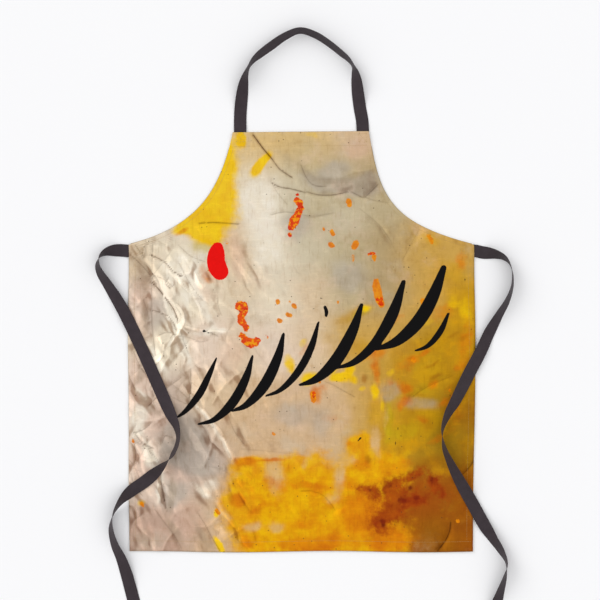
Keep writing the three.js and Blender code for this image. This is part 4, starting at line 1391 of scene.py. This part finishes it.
@dataclass
class ApronShape:
    """The outline of the panel as it lies, and the lines of its seams."""

    half_body: float
    half_bib: float
    bib_y: float
    bottom_y: float
    armhole_drop: float = 226 * MM
    top_lean: float = 22 * MM
    top_reach: float = 118 * MM
    side_reach: float = 160 * MM
    side_rise: float = 40 * MM
    bib_shift: float = 8 * MM
    steps: int = 160

    @classmethod
    def from_frame(cls) -> ApronShape:
        """Reads the panel's size from the frame."""
        low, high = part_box("front_panel")
        bib_left, bib_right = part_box("top_hem")
        return cls((high.x - low.x) / 2, (bib_right.x - bib_left.x) / 2, high.y, low.y)

    @property
    def armhole_y(self) -> float:
        """Where the armholes meet the body's sides."""
        return self.bib_y - self.armhole_drop

    def armhole(self) -> Array:
        """The armhole's line on the right side, from the bib's corner down to the body's side."""
        corners = np.array(
            [
                (self.half_bib, self.bib_y),
                (self.half_bib + self.top_lean, self.bib_y - self.top_reach),
                (self.half_body - self.side_reach, self.armhole_y + self.side_rise),
                (self.half_body, self.armhole_y),
            ]
        )
        t = np.linspace(0, 1, self.steps)[:, None]
        parts = ((1 - t) ** 3, 3 * t * (1 - t) ** 2, 3 * t**2 * (1 - t), t**3)
        return sum(part * corner for part, corner in zip(parts, corners))

    def skew(self, y: Array) -> Array:
        """How far the bib lies to one side: the apron isn't laid out quite straight."""
        rise = smooth_step(self.armhole_y - 10 * MM, self.armhole_y + 60 * MM, y)
        fall = smooth_step(self.armhole_y + 70 * MM, self.bib_y, y)
        return -self.bib_shift * rise * (1 - 0.8 * fall)

    def edge(self, side: Side, y: Array) -> Array:
        """Where the panel's edge lies.

        Args:
            side: Which edge.
            y: How far up the panel, in metres.

        Returns:
            One x per height.
        """
        line = self.armhole()
        half = np.interp(-y, -line[:, 1], line[:, 0])
        side_wave = 2.5 * MM * np.sin((y - 0.05) * 9.0) * smooth_step(0.08, -0.05, y)
        wander = side_wave if side is Side.RIGHT else side_wave * 0.6 + 1.0 * MM * np.sin(y * 21)
        # Only the sides below the armholes wander.
        body = smooth_step(self.armhole_y, self.armhole_y - 60 * MM, y)
        return side.value * half + self.skew(y) - wander * body * (1 if side is Side.RIGHT else -0.6)

    def place(self, across: Array, along: Array) -> Array:
        """Places on the panel.

        Args:
            across: From 0 at the left edge to 1 at the right one.
            along: From 0 at the bottom edge to 1 at the bib's edge.

        Returns:
            Rows of x and y.
        """
        y = self.bottom_y + along * (self.bib_y - self.bottom_y)
        x = self.edge(Side.LEFT, y) * (1 - across) + self.edge(Side.RIGHT, y) * across
        sway = 1.4 * MM * np.sin(x * 17 + 0.6) * (1 - along) ** 3
        tilt = 1.2 * MM * (x / self.half_bib) * smooth_step(0.8, 1.0, along)
        return np.stack([x, y + sway + tilt - 1.2 * MM * smooth_step(0.9, 1.0, along)], axis=-1)


@dataclass
class ClothSurface:
    """The height of the cloth: how it lies over its hems and straps, and how it is creased."""

    shape: ApronShape
    pressed: Sequence[Array]
    sewn_straps: Array
    seams: Sequence[Array]
    outline: Sequence[Array]
    rest_height: float = 1.9 * MM
    strap_lift: float = 1.3 * MM
    edge_lift: float = 0.7 * MM
    press_lift: float = 0.9 * MM
    seam_sink: float = 0.25 * MM
    pucker: float = 0.3 * MM
    press_reach: float = 26 * MM
    seam_reach: float = 5 * MM
    hem_reach: float = 24 * MM
    softness: float = 0.25 * MM
    limit: float = 3.55 * MM
    seed: int = 7
    small_creases: int = 210
    crumpled_x: float = -110.0
    line_reach: float = 8.0
    no_crease: float = 99.0
    scattered: list[Crease] = field(init=False, default_factory=list)

    def __post_init__(self) -> None:
        """Scatters small creases over the cloth, most of them on its left."""
        draw = np.random.default_rng(self.seed)
        for _ in range(self.small_creases):
            x = self.shape.half_body * 1000 * (2 * draw.random() ** 1.9 - 1)
            y = draw.uniform(self.shape.bottom_y, self.shape.armhole_y + 0.1) * 1000
            # Seven in ten run down to the right, and the rest up to the right.
            angle = math.radians(draw.normal(-56, 20) if draw.random() < 0.7 else draw.normal(48, 22))
            half = draw.uniform(9, 46)
            bend = draw.uniform(-9, 9)
            dx, dy = half * math.cos(angle), half * math.sin(angle)
            middle = (x - bend * math.sin(angle), y + bend * math.cos(angle))
            crumpled = x < self.crumpled_x
            height = (0.95 if crumpled else 0.42) * draw.uniform(0.4, 1.2) * draw.choice([-1, 1])
            points = ((x - dx, y - dy), middle, (x + dx, y + dy))
            reach = draw.uniform(6, 13)
            line = 0.42 * abs(height) if crumpled else 0.0
            self.scattered.append(Crease(points, height, reach, line))

    def creases(self, places: Array) -> dict[str, Array]:
        """What the creases do at each place.

        Args:
            places: Rows of x and y.

        Returns:
            Their height in metres, the distance in millimetres from the nearest one, with a sign for
            its side, and how strong that one is as a fold's line of painted shade and as a ridge's line of
            painted highlight.
        """
        height, fold, ridge = np.zeros((3, len(places)))
        side = np.full(len(places), self.no_crease)
        for crease in (*CREASES, *self.scattered):
            rows = crease.touched(places)
            away = beside(places[rows], crease.run()) / MM
            height[rows] += crease.height * MM * np.exp(-np.abs(away) / crease.reach)
            if not crease.line:
                continue
            nearer = np.abs(away) < np.abs(side[rows])
            rows, away = rows[nearer], away[nearer]
            side[rows] = away
            line = crease.line * np.clip(1 - np.abs(away) / self.line_reach, 0, 1)
            fold[rows] = line if crease.height < 0 else 0.0
            ridge[rows] = line if crease.height > 0 else 0.0
        return {"height": height, "crease_side": side, "fold_line": fold, "ridge_line": ridge}

    def swell(self, places: Array) -> Array:
        """The broad unevenness of cloth that has been spread by hand."""
        broad = fractal(places, 170 * MM, 2, 21.0)
        small = fractal(places, 34 * MM, 3, 33.0)
        left = smooth_step(0.05, -0.25, places[:, 0])
        return broad * 0.9 * MM + small * (0.22 + 0.3 * left) * MM

    def near(self, places: Array, lines: Sequence[Array], reach: float) -> Array:
        """From 0 far from some lines to 1 on any of them.

        Args:
            places: Rows of x and y.
            lines: The lines, each of them rows of x and y.
            reach: How far away the value falls to about a third, in metres.

        Returns:
            One value per place.
        """
        away = np.full(len(places), -1.0)
        for line in lines:
            away = np.maximum(away, reach_inside(places, np.pad(line, ((0, 0), (0, 1)))))
        return np.exp(-((away / reach) ** 2))

    def top(self, places: Array) -> Array:
        """The height of the cloth's face above the table at rows of x and y."""
        return self.settle(places, self.creases(places)["height"])

    def strap_bump(self, places: Array) -> Array:
        """Where the sewn ends of the straps lift the cloth.

        Args:
            places: Rows of x and y.

        Returns:
            From 0 to 1 at each place.
        """
        bump = np.zeros(len(places))
        for x, y, half_x, half_y in self.sewn_straps:
            across = smooth_step(half_x + 9 * MM, half_x - 1 * MM, np.abs(places[:, 0] - x))
            along = smooth_step(half_y + 9 * MM, half_y - 1 * MM, np.abs(places[:, 1] - y))
            bump = np.maximum(bump, across * along)
        return bump

    def settle(self, places: Array, creased: Array) -> Array:
        """Adds everything that shapes the face, and keeps it under the ties that lie on it.

        Args:
            places: Rows of x and y.
            creased: The height that the creases add at each place.

        Returns:
            The height of the face above the table.
        """
        press = self.near(places, self.pressed, self.press_reach)
        bump = self.strap_bump(places)
        seam = self.near(places, self.seams, self.seam_reach)
        hem = self.near(places, self.outline, self.hem_reach)
        free = (1 - 0.92 * press) * (1 - 0.6 * hem) * (1 - 0.8 * bump)
        pucker = fractal(places, 13 * MM, 2, 55.0) * self.pucker * hem
        wave = (self.swell(places) + creased) * free
        height = self.rest_height + wave + pucker * (1 - press)
        height += bump * self.strap_lift + hem * self.edge_lift + press * self.press_lift
        height -= seam * self.seam_sink
        # A hollow levels off above the table, and higher where there is a hem under it.
        low = (1.3 + 0.9 * hem) * MM
        kept_up = low - self.softness * np.tanh((low - height) / self.softness)
        height = np.where(height < low, kept_up, height)
        return height - np.maximum(height - self.limit, 0) * smooth_step(0.05, 0.5, press)

    def relief(self, points: Array) -> Array:
        """How far a grid of points turns to a light at the upper left, from -1 to 1."""
        slope_x = np.gradient(points[..., 2], axis=1) / np.gradient(points[..., 0], axis=1)
        slope_y = np.gradient(points[..., 2], axis=0) / np.gradient(points[..., 1], axis=0)
        return np.tanh(4.2 * slope_x - 2.8 * slope_y)

    def crumple(self, places: Array) -> Array:
        """How crumpled the cloth is: most on its left, from 0 to 1."""
        left = smooth_step(0.0, -0.22, places[:, 0])
        return 0.22 + 0.78 * left * smooth_step(0.14, 0.02, places[:, 1])


def resampled(line: Array, step: float) -> Array:
    """Places evenly spaced along a line.

    Args:
        line: Rows of x and y.
        step: About how far apart the places are wanted.

    Returns:
        The new rows, with both ends kept.
    """
    gone = np.concatenate([[0], np.cumsum(np.linalg.norm(np.diff(line, axis=0), axis=1))])
    where = np.linspace(0, gone[-1], max(2, round(gone[-1] / step) + 1))
    return np.stack([np.interp(where, gone, line[:, axis]) for axis in (0, 1)], axis=1)


def left_of(line: Array) -> Array:
    """The unit direction to the left of a line at each of its places."""
    heading = np.gradient(line, axis=0)
    heading /= np.linalg.norm(heading, axis=1, keepdims=True)
    return np.stack([-heading[:, 1], heading[:, 0]], axis=1)


@dataclass
class PanelEdges:
    """The lines of the panel's edges, run anticlockwise, so that the cloth is on their left."""

    shape: ApronShape
    step: float = 3 * MM

    def _line(self, across: float | Array, along: float | Array) -> Array:
        """An evenly spaced line of places on the panel."""
        across, along = np.broadcast_arrays(np.asarray(across, float), np.asarray(along, float))
        return resampled(self.shape.place(across, along), self.step)

    def _share(self, y: float) -> float:
        """How far up the panel a height is, from 0 to 1."""
        return (y - self.shape.bottom_y) / (self.shape.bib_y - self.shape.bottom_y)

    def bottom(self) -> Array:
        """The bottom edge, from left to right."""
        return self._line(np.linspace(0, 1, 120), 0.0)

    def top(self) -> Array:
        """The bib's edge, from right to left."""
        return self._line(np.linspace(1, 0, 60), 1.0)

    def between(self, side: Side, low: float, high: float) -> Array:
        """The part of a side's edge between two heights."""
        along = np.linspace(self._share(low), self._share(high), 400)
        if side is Side.RIGHT:
            return self._line(1.0, along)
        return self._line(0.0, along[::-1])


@dataclass
class TurnedStrip:
    """Cloth or tape that is turned to the back along one of the panel's edges."""

    name: str
    line: Array
    depth: float
    surface: ClothSurface
    cloth: float = 0.8 * MM
    thickness: float = 0.6 * MM
    gap: float = 0.12 * MM
    strap_level: float = 0.62 * MM
    clearance: float = 0.05 * MM
    line_step: float = 3 * MM

    def build(self, material: bpy.types.Material) -> bpy.types.Object:
        """Makes the strip: flat under the cloth, and rolled up round its edge.

        Args:
            material: Its finish.

        Returns:
            The strip, with its thickness.
        """
        inward = left_of(self.line)
        flat = np.array([0.3 * MM, 1.2 * MM, *np.linspace(2.5 * MM, self.depth - 0.8 * MM, 6), self.depth])
        base = self.line[:, None] + flat[None, :, None] * inward[:, None]
        places = base.reshape(-1, 2)
        under = self.surface.top(places).reshape(base.shape[:2]) - self.cloth
        bump = self.surface.strap_bump(places).reshape(base.shape[:2])
        middle = under - self.thickness / 2 - self.gap
        middle += bump * (self.strap_level - middle)
        floor = self.thickness / 2 + self.clearance
        height = np.maximum(middle, floor)
        height[:, -1] = np.maximum(height[:, -1] - 0.1 * MM, floor)
        lying = np.concatenate([base, height[..., None]], axis=2)
        rim = self.surface.top(self.line) - self.cloth
        # Round the cloth's edge: how far out in millimetres, and the share of the rim's height.
        roll = []
        for out, share in ((0.1, 0.55), (0.35, 0.3), (0.35, 0.0)):
            place = self.line - out * MM * inward
            rise = rim * share + height[:, 0] * (1 - share)
            roll.append(np.concatenate([place, rise[:, None]], axis=1))
        points = np.concatenate([np.stack(roll, axis=1), lying], axis=1)
        along = np.arange(len(self.line))[:, None] * self.line_step
        across = np.concatenate([[-1.5 * MM, -1.0 * MM, -0.4 * MM], flat])[None, :]
        pattern = np.stack(np.broadcast_arrays(across, along), axis=2)
        piece = Skin(points, pattern).build(self.name, material)
        add_modifier(piece, "SOLIDIFY", thickness=self.thickness, offset=0.0)
        return piece


@dataclass
class FrontPanel:
    """The apron's one piece of printed cloth."""

    shape: ApronShape
    surface: ClothSurface
    printing: Print
    thickness: float = 0.8 * MM
    columns: int = 196
    rows: int = 244

    def flat_area(self) -> float:
        """The area of the finished panel laid flat."""
        along = np.linspace(0, 1, 2000)
        left = self.shape.place(np.zeros_like(along), along)
        right = self.shape.place(np.ones_like(along), along)
        width = right[:, 0] - left[:, 0]
        return float(np.sum((width[1:] + width[:-1]) / 2 * np.diff(left[:, 1])))

    def build(self, printed: bpy.types.Material, turned: bpy.types.Material) -> bpy.types.Object:
        """Makes the panel: its creased face, its print and its thickness.

        Args:
            printed: The finish of its face.
            turned: The finish of its back.

        Returns:
            The panel.
        """
        share = np.linspace(0, 1, self.columns + 1)
        crowded = (share + 0.5 * share**2) / 1.5
        along, across = np.meshgrid(np.linspace(0, 1, self.rows + 1), crowded, indexing="ij")
        places = self.shape.place(across.ravel(), along.ravel())
        creases = self.surface.creases(places)
        creased = creases.pop("height")
        height = self.surface.settle(places, creased)
        grid = (self.rows + 1, self.columns + 1)
        points = np.concatenate([places, height[:, None]], axis=1).reshape(*grid, 3)
        piece = Skin(points, places.reshape(*grid, 2)).build("printed_panel", printed)
        piece.data.materials.append(turned)
        folded = np.concatenate([places, creased[:, None]], axis=1).reshape(*grid, 3)
        # How far the creases turn to a light at the upper left, for their painted light and shade.
        creases["relief"] = self.surface.relief(folded).ravel()
        self._colour(piece.data, places, creases)
        thick = {"thickness": self.thickness, "offset": -1.0, "use_even_offset": False}
        add_modifier(piece, "SOLIDIFY", material_offset=1, **thick)
        return piece

    def _colour(self, mesh: bpy.types.Mesh, places: Array, lines: dict[str, Array]) -> None:
        """Writes the print, and what drives the painted light and shade of the creases, into the mesh's
        attributes.

        Args:
            mesh: The face's mesh.
            places: Where its points are, as rows of x and y.
            lines: More values to write, by the attribute's name.
        """
        wandering = self.printing.drifted(places)
        ground = mesh.attributes.new("ground", "FLOAT_COLOR", "POINT")
        ground.data.foreach_set("color", self.printing.ground(wandering).ravel().astype(np.float32))
        layers = {
            **self.printing.washes(wandering),
            **self.printing.marks(places),
            "crumple": self.surface.crumple(places),
            **lines,
        }
        for name, values in layers.items():
            layer = mesh.attributes.new(name, "FLOAT", "POINT")
            layer.data.foreach_set("value", values.astype(np.float32))


# --- Thread ---


@dataclass
class Stitcher:
    """Sews rows of stitches: one stitch is modelled, and copied along each row."""

    surface: ClothSurface
    pitch: float = 3.2 * MM
    length: float = 2.5 * MM
    radius: float = 0.24 * MM
    corners: Array = field(init=False)
    faces: list[list[int]] = field(init=False)

    def __post_init__(self) -> None:
        """Models the stitch and keeps its mesh."""
        stitch = self._model()
        self.corners = np.array([vertex.co for vertex in stitch.data.vertices])
        # Extruding leaves the faces in no fixed order, so they are sorted.
        self.faces = sorted(list(face.vertices) for face in stitch.data.polygons)
        bpy.data.objects.remove(stitch)

    def _model(self) -> bpy.types.Object:
        """Draws one stitch out of a ring: it rises from the cloth, runs along it and dips back in."""
        deselect_all()
        bpy.ops.mesh.primitive_circle_add(
            vertices=6,
            radius=self.radius * 0.5,
            fill_type="NGON",
            location=(-self.length / 2, 0, -self.radius * 0.8),
            rotation=(0, math.pi / 2, 0),
        )
        stitch = bpy.context.object
        bpy.ops.object.transform_apply(location=True, rotation=True, scale=True)
        bpy.ops.object.mode_set(mode="EDIT")
        bpy.ops.mesh.select_all(action="SELECT")
        spans = ((0.16, 0.9, 1.7), (0.34, 0.35, 1.18), (0.34, -0.35, 0.85), (0.16, -0.9, 0.59))
        for share, rise, swell in spans:
            move = (share * self.length, 0, rise * self.radius)
            bpy.ops.mesh.extrude_region_move(TRANSFORM_OT_translate={"value": move})
            bpy.ops.transform.resize(value=(1, swell, swell))
        bpy.ops.mesh.select_all(action="SELECT")
        bpy.ops.mesh.normals_make_consistent(inside=False)
        bpy.ops.object.mode_set(mode="OBJECT")
        return stitch

    def sew(
        self, name: str, lines: Sequence[Array], material: bpy.types.Material, level: float | None = None
    ) -> bpy.types.Object:
        """Sews along lines.

        Args:
            name: The piece's name.
            lines: Rows of x and y that the stitches follow.
            material: The thread.
            level: The height that they lie at, or none for the cloth's face.

        Returns:
            The stitches as one object.
        """
        vertices, faces = [], []
        for line in lines:
            middles = resampled(line, self.pitch)
            middles = (middles[:-1] + middles[1:]) / 2
            heading = np.gradient(middles, axis=0) if len(middles) > 1 else line[-1:] - line[:1]
            heading /= np.linalg.norm(heading, axis=1, keepdims=True)
            for middle, (ahead_x, ahead_y) in zip(middles, heading):
                turn = np.array([[ahead_x, ahead_y], [-ahead_y, ahead_x]])
                first = len(self.corners) * len(vertices)
                faces += [[first + corner for corner in face] for face in self.faces]
                laid = self.corners[:, :2] @ turn + middle
                vertices.append(np.concatenate([laid, self.corners[:, 2:]], axis=1))
        points = np.concatenate(vertices)
        points[:, 2] += self.surface.top(points[:, :2]) if level is None else level
        return new_piece(name, points, faces, material)

    def crossed_box(self, low: Vector, high: Vector, margin: float) -> list[Array]:
        """The lines of a tack: a box with a cross in it.

        Args:
            low: The lowest corner of the tack's part.
            high: Its highest corner.
            margin: How far inside the part the box is.

        Returns:
            Six lines of two places each.
        """
        left, right = low.x + margin, high.x - margin
        bottom, top = low.y + margin, high.y - margin
        corners = np.array([(left, bottom), (right, bottom), (right, top), (left, top)])
        return [corners[[start, end]] for start, end in ((0, 1), (1, 2), (2, 3), (3, 0), (0, 2), (1, 3))]


# --- The set ---


@dataclass
class Studio:
    """A pale table, a camera straight above it, and soft light."""

    view_width: float = 1.2
    centre: Point = (-0.003, -0.020)
    distance: float = 4.0
    table_size: float = 9.0
    table_drop: float = 0.3 * MM
    sky_strength: float = 0.76
    film_width: float = 36.0

    def place_camera(self) -> None:
        """Puts the camera above the apron, looking straight down."""
        camera = bpy.data.cameras.new("camera")
        camera.sensor_width = self.film_width
        camera.lens = self.film_width * self.distance / self.view_width
        holder = bpy.data.objects.new("camera", camera)
        holder.location = (*self.centre, self.distance)
        bpy.context.scene.collection.objects.link(holder)
        bpy.context.scene.camera = holder

    def set_table(self) -> None:
        """Lays the table under everything."""
        deselect_all()
        bpy.ops.mesh.primitive_plane_add(size=self.table_size, location=(0, 0, -self.table_drop))
        table = bpy.context.object
        table.name = "table"
        bpy.ops.object.transform_apply(location=True, rotation=True, scale=True)
        table.data.materials.append(TableFinish().make())

    def light(self) -> None:
        """Lights the table from both sides and from the air above it."""
        for name, heading, strength, spread in (
            ("left softbox", (62, 0, -128), 1.05, 34),
            ("right softbox", (50, 0, 100), 0.42, 50),
        ):
            lamp = bpy.data.lights.new(name, "SUN")
            lamp.energy = strength
            lamp.angle = math.radians(spread)
            holder = bpy.data.objects.new(name, lamp)
            holder.rotation_euler = [math.radians(turn) for turn in heading]
            bpy.context.scene.collection.objects.link(holder)
        world = bpy.data.worlds.new("studio")
        world.use_nodes = True
        sky = world.node_tree.nodes["Background"]
        sky.inputs["Color"].default_value = (1, 1, 1, 1)
        sky.inputs["Strength"].default_value = self.sky_strength
        bpy.context.scene.world = world
        bpy.context.scene.view_settings.view_transform = "Standard"


# --- Sub-assemblies ---


@dataclass
class NeckStrap:
    """The neck strap, from one sewn end over the neck to the other."""

    shape: ApronShape
    fold_start: float = 1 * MM
    fold_end: float = 19 * MM

    def build(self, wardrobe: Wardrobe) -> bpy.types.Object:
        """Args:
            wardrobe: The finishes.

        Returns:
            The strap.
        """
        bib = self.shape.bib_y / MM
        rows = [(x, bib + rise, rest, roll) for x, rise, rest, roll in NECK_ROUTE]
        route = StrapRoute(np.array(rows, float))
        ribbon = Ribbon(route)
        strap = ribbon.build("neck_webbing", wardrobe.webbing)
        parts = ("neck_strap", "neck_strap_left_end", "neck_strap_right_end")
        finish_piece(strap, None, parts)
        seam_x = NECK_ROUTE[0][0] * MM
        IN_SEAM * MM + route.thickness / 2
        route.along(ribbon.places())[0].tolist()
        start = (0, self.shape.bib_y + self.fold_start, 0)
        end = (0, self.shape.bib_y + self.fold_end, 0)
        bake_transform(strap)
        return strap


@dataclass
class WaistTie:
    """One waist tie, from its sewn end to the folded end of its tail."""

    side: Side
    points: Rows
    body: Body
    swing_point: int
    seam_y: float
    half_body: float
    end_fold: float = 14 * MM
    fold_lift: float = 1.1 * MM
    bend_before: float = 10 * MM
    bend_after: float = 16 * MM

    def route(self) -> StrapRoute:
        """The tie's route over the table and the apron."""
        rows = [
            (self.side.value * (self.half_body / MM + out), self.seam_y / MM + along, rest, roll)
            for out, along, rest, roll in self.points
        ]
        return StrapRoute(np.array(rows, float))

    def build(self, wardrobe: Wardrobe, stitcher: Stitcher) -> list[bpy.types.Object]:
        """Makes the tie, its folded end and the row of stitches that holds the fold.

        Args:
            wardrobe: The finishes.
            stitcher: What sews the fold.

        Returns:
            The three pieces.
        """
        route = self.route()
        ribbon = Ribbon(route)
        word = self.side.word
        tie = ribbon.build(f"{word}_waist_webbing", wardrobe.webbing)
        sewn = (f"{word}_waist_tie", f"{word}_waist_tie_sewn_end")
        finish_piece(tie, None, sewn)
        fold = Ribbon(route, start=route.length - self.end_fold, end=route.length, lift=self.fold_lift)
        folded = fold.build(f"{word}_folded_end", wardrobe.webbing)
        finish_piece(folded, self.body, (f"{word}_tie_end_fold",))
        tack = self._sew_fold(route, stitcher, wardrobe)
        finish_piece(tack, self.body, (f"{word}_tie_end_tack",))
        self.side.value * self.half_body
        IN_SEAM * MM + route.thickness / 2
        route.along(ribbon.places())[0].tolist()
        self._bend(tie, route)
        return [tie, folded, tack]

    def _sew_fold(self, route: StrapRoute, stitcher: Stitcher, wardrobe: Wardrobe) -> bpy.types.Object:
        """Sews across the folded end."""
        where = np.array([route.length - 5 * MM])
        centre, across, _ = route.along(where)
        reach = across[0, :2] * 0.42 * route.width
        line = np.array([centre[0, :2] - reach, centre[0, :2] + reach])
        level = centre[0, 2] + self.fold_lift + route.thickness / 2 - 0.02 * MM
        return stitcher.sew(f"{self.side.word}_end_stitches", [line], wardrobe.dark_thread, level)

    def _bend(self, tie: bpy.types.Object, route: StrapRoute) -> None:
        """Finds the tie's swing and the span round it, and bakes the tie's placement into its mesh."""
        at = self.swing_point * route.samples
        heading = route.plan[at + 1] - route.plan[at - 1]
        heading /= np.linalg.norm(heading)
        swing = route.plan[at]
        start = swing - heading * self.bend_before
        end = swing + heading * self.bend_after
        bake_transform(tie)


@dataclass(frozen=True)
class EdgeWork:
    """What is sewn along one edge: a turned strip, and the row of stitches that holds it."""

    part: str
    piece: str
    line: Array
    depth: float
    slot: Slot
    row_name: str
    row: Array


@dataclass
class ClothBody:
    """The panel with its hems, bindings and stitching."""

    shape: ApronShape
    edges: PanelEdges
    hem_row: float = 2 * MM
    tape_width: float = 10 * MM
    tape_row: float = 8 * MM
    tack_margin: float = 0.5 * MM

    def _hem(self, word: str, piece: str, line: Array, depth: float) -> EdgeWork:
        """A hem along a line, and its row of stitches near its inner edge."""
        row = line + (depth - self.hem_row) * left_of(line)
        return EdgeWork(f"{word}_hem", piece, line, depth, Slot.TURNED_CLOTH, f"{word}_hem", row)

    def edge_work(self) -> list[EdgeWork]:
        """What is sewn along each edge: the top, the bottom, and each side with its armhole."""
        work = []
        for word, line in (("top", self.edges.top()), ("bottom", self.edges.bottom())):
            low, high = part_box(f"{word}_hem")
            hem = self._hem(word, f"turned_{word}", line, high.y - low.y)
            work.append(replace(hem, row=hem.row[1:-1]))
        tape_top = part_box("top_hem")[0].y - 0.3 * MM
        for side in Side:
            low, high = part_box(f"{side.word}_side_hem")
            line = self.edges.between(side, low.y, high.y)
            hem = self._hem(f"{side.word}_side", f"turned_{side.word}_side", line, high.x - low.x)
            work.append(replace(hem, row_name=f"{side.word}_side"))
            word = f"{side.word}_armhole"
            line = self.edges.between(side, self.shape.armhole_y + 1 * MM, tape_top)
            sewn = self.edges.between(side, self.shape.armhole_y + 2 * MM, tape_top)
            row = sewn + self.tape_row * left_of(sewn)
            names = (f"{word}_binding", f"{word}_tape")
            work.append(EdgeWork(*names, line, self.tape_width, Slot.BIAS_TAPE, word, row))
        return work

    def strips(self, surface: ClothSurface, wardrobe: Wardrobe) -> list[bpy.types.Object]:
        """Makes the hems and the armholes' bindings.

        Args:
            surface: The cloth that they lie under.
            wardrobe: The finishes.

        Returns:
            The strips, in the order of the work.
        """
        materials = {Slot.TURNED_CLOTH: wardrobe.turned, Slot.BIAS_TAPE: wardrobe.tape}
        made = []
        for work in self.edge_work():
            strip = TurnedStrip(work.piece, work.line, work.depth, surface)
            piece = strip.build(materials[work.slot])
            made.append(finish_piece(piece, Body.APRON, (work.part,)))
        return made

    def stitching(self, stitcher: Stitcher, wardrobe: Wardrobe) -> list[bpy.types.Object]:
        """Sews the hems, the bindings and the tacks over the straps' sewn ends.

        Args:
            stitcher: What sews them.
            wardrobe: The finishes.

        Returns:
            One piece for each row or tack.
        """
        plan = [
            (f"{work.row_name}_stitching", f"{work.row_name}_stitches", [work.row])
            for work in self.edge_work()
        ]
        for side in Side:
            for end in ("neck", "waist"):
                part = f"{side.word}_{end}_tack"
                plan.append((part, f"{part}_stitches", stitcher.crossed_box(*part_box(part), self.tack_margin)))
        made = []
        for part, name, lines in plan:
            piece = stitcher.sew(name, lines, wardrobe.cloth_thread)
            made.append(finish_piece(piece, Body.APRON, (part,)))
        return made


def ties_on_panel(ties: Sequence[WaistTie]) -> list[Array]:
    """The line of each tie where it lies on the panel."""
    routes = [tie.route() for tie in ties]
    return [resampled(route.plan[route.rest > 3 * MM], 8 * MM) for route in routes]


def sewn_ends(shape: ApronShape, ties: Sequence[WaistTie]) -> Array:
    """The straps' sewn ends under the cloth.

    Args:
        shape: The panel's outline.
        ties: The two waist ties.

    Returns:
        Rows of x and y of the middle, and half the size along x and y.
    """
    sewn = []
    for node in ("neck_strap_left_end", "neck_strap_right_end"):
        low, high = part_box(node)
        half_y = (shape.bib_y - low.y) / 2
        sewn.append(((low.x + high.x) / 2, low.y + half_y, (high.x - low.x) / 2, half_y))
    half_x, half_y = 15 * MM, 12.5 * MM
    for tie in ties:
        sewn.append((tie.side.value * (shape.half_body - half_x), tie.seam_y, half_x, half_y))
    return np.array(sewn)


def main() -> None:
    """Builds the apron and the set."""
    logging.basicConfig(level=logging.INFO, format="%(name)s: %(message)s")
    studio = Studio()
    studio.place_camera()
    shape = ApronShape.from_frame()
    wardrobe = Wardrobe()
    seam_y = shape.armhole_y - 13 * MM
    ties = [
        WaistTie(Side.LEFT, LEFT_TIE_ROUTE, Body.LEFT_TIE, 5, seam_y, shape.half_body),
        WaistTie(Side.RIGHT, RIGHT_TIE_ROUTE, Body.RIGHT_TIE, 6, seam_y, shape.half_body),
    ]
    edges = PanelEdges(shape)
    cloth = ClothBody(shape, edges)
    outline = [edges.bottom(), edges.top()]
    outline += [edges.between(side, shape.bottom_y, shape.bib_y) for side in Side]
    rows = [work.row for work in cloth.edge_work()]
    surface = ClothSurface(shape, ties_on_panel(ties), sewn_ends(shape, ties), rows, outline)
    stitcher = Stitcher(surface)
    NeckStrap(shape).build(wardrobe)
    for tie in ties:
        tie.build(wardrobe, stitcher)
    pieces = [*cloth.strips(surface, wardrobe), *cloth.stitching(stitcher, wardrobe)]
    panel = FrontPanel(shape, surface, Print())
    front = panel.build(wardrobe.printed, wardrobe.turned)
    finish_piece(front, Body.APRON, ("front_panel",))
    size = (2 * shape.half_body, shape.bib_y - shape.bottom_y)
    panel.flat_area()
    studio.set_table()
    studio.light()


if __name__ == "__main__":
    main()
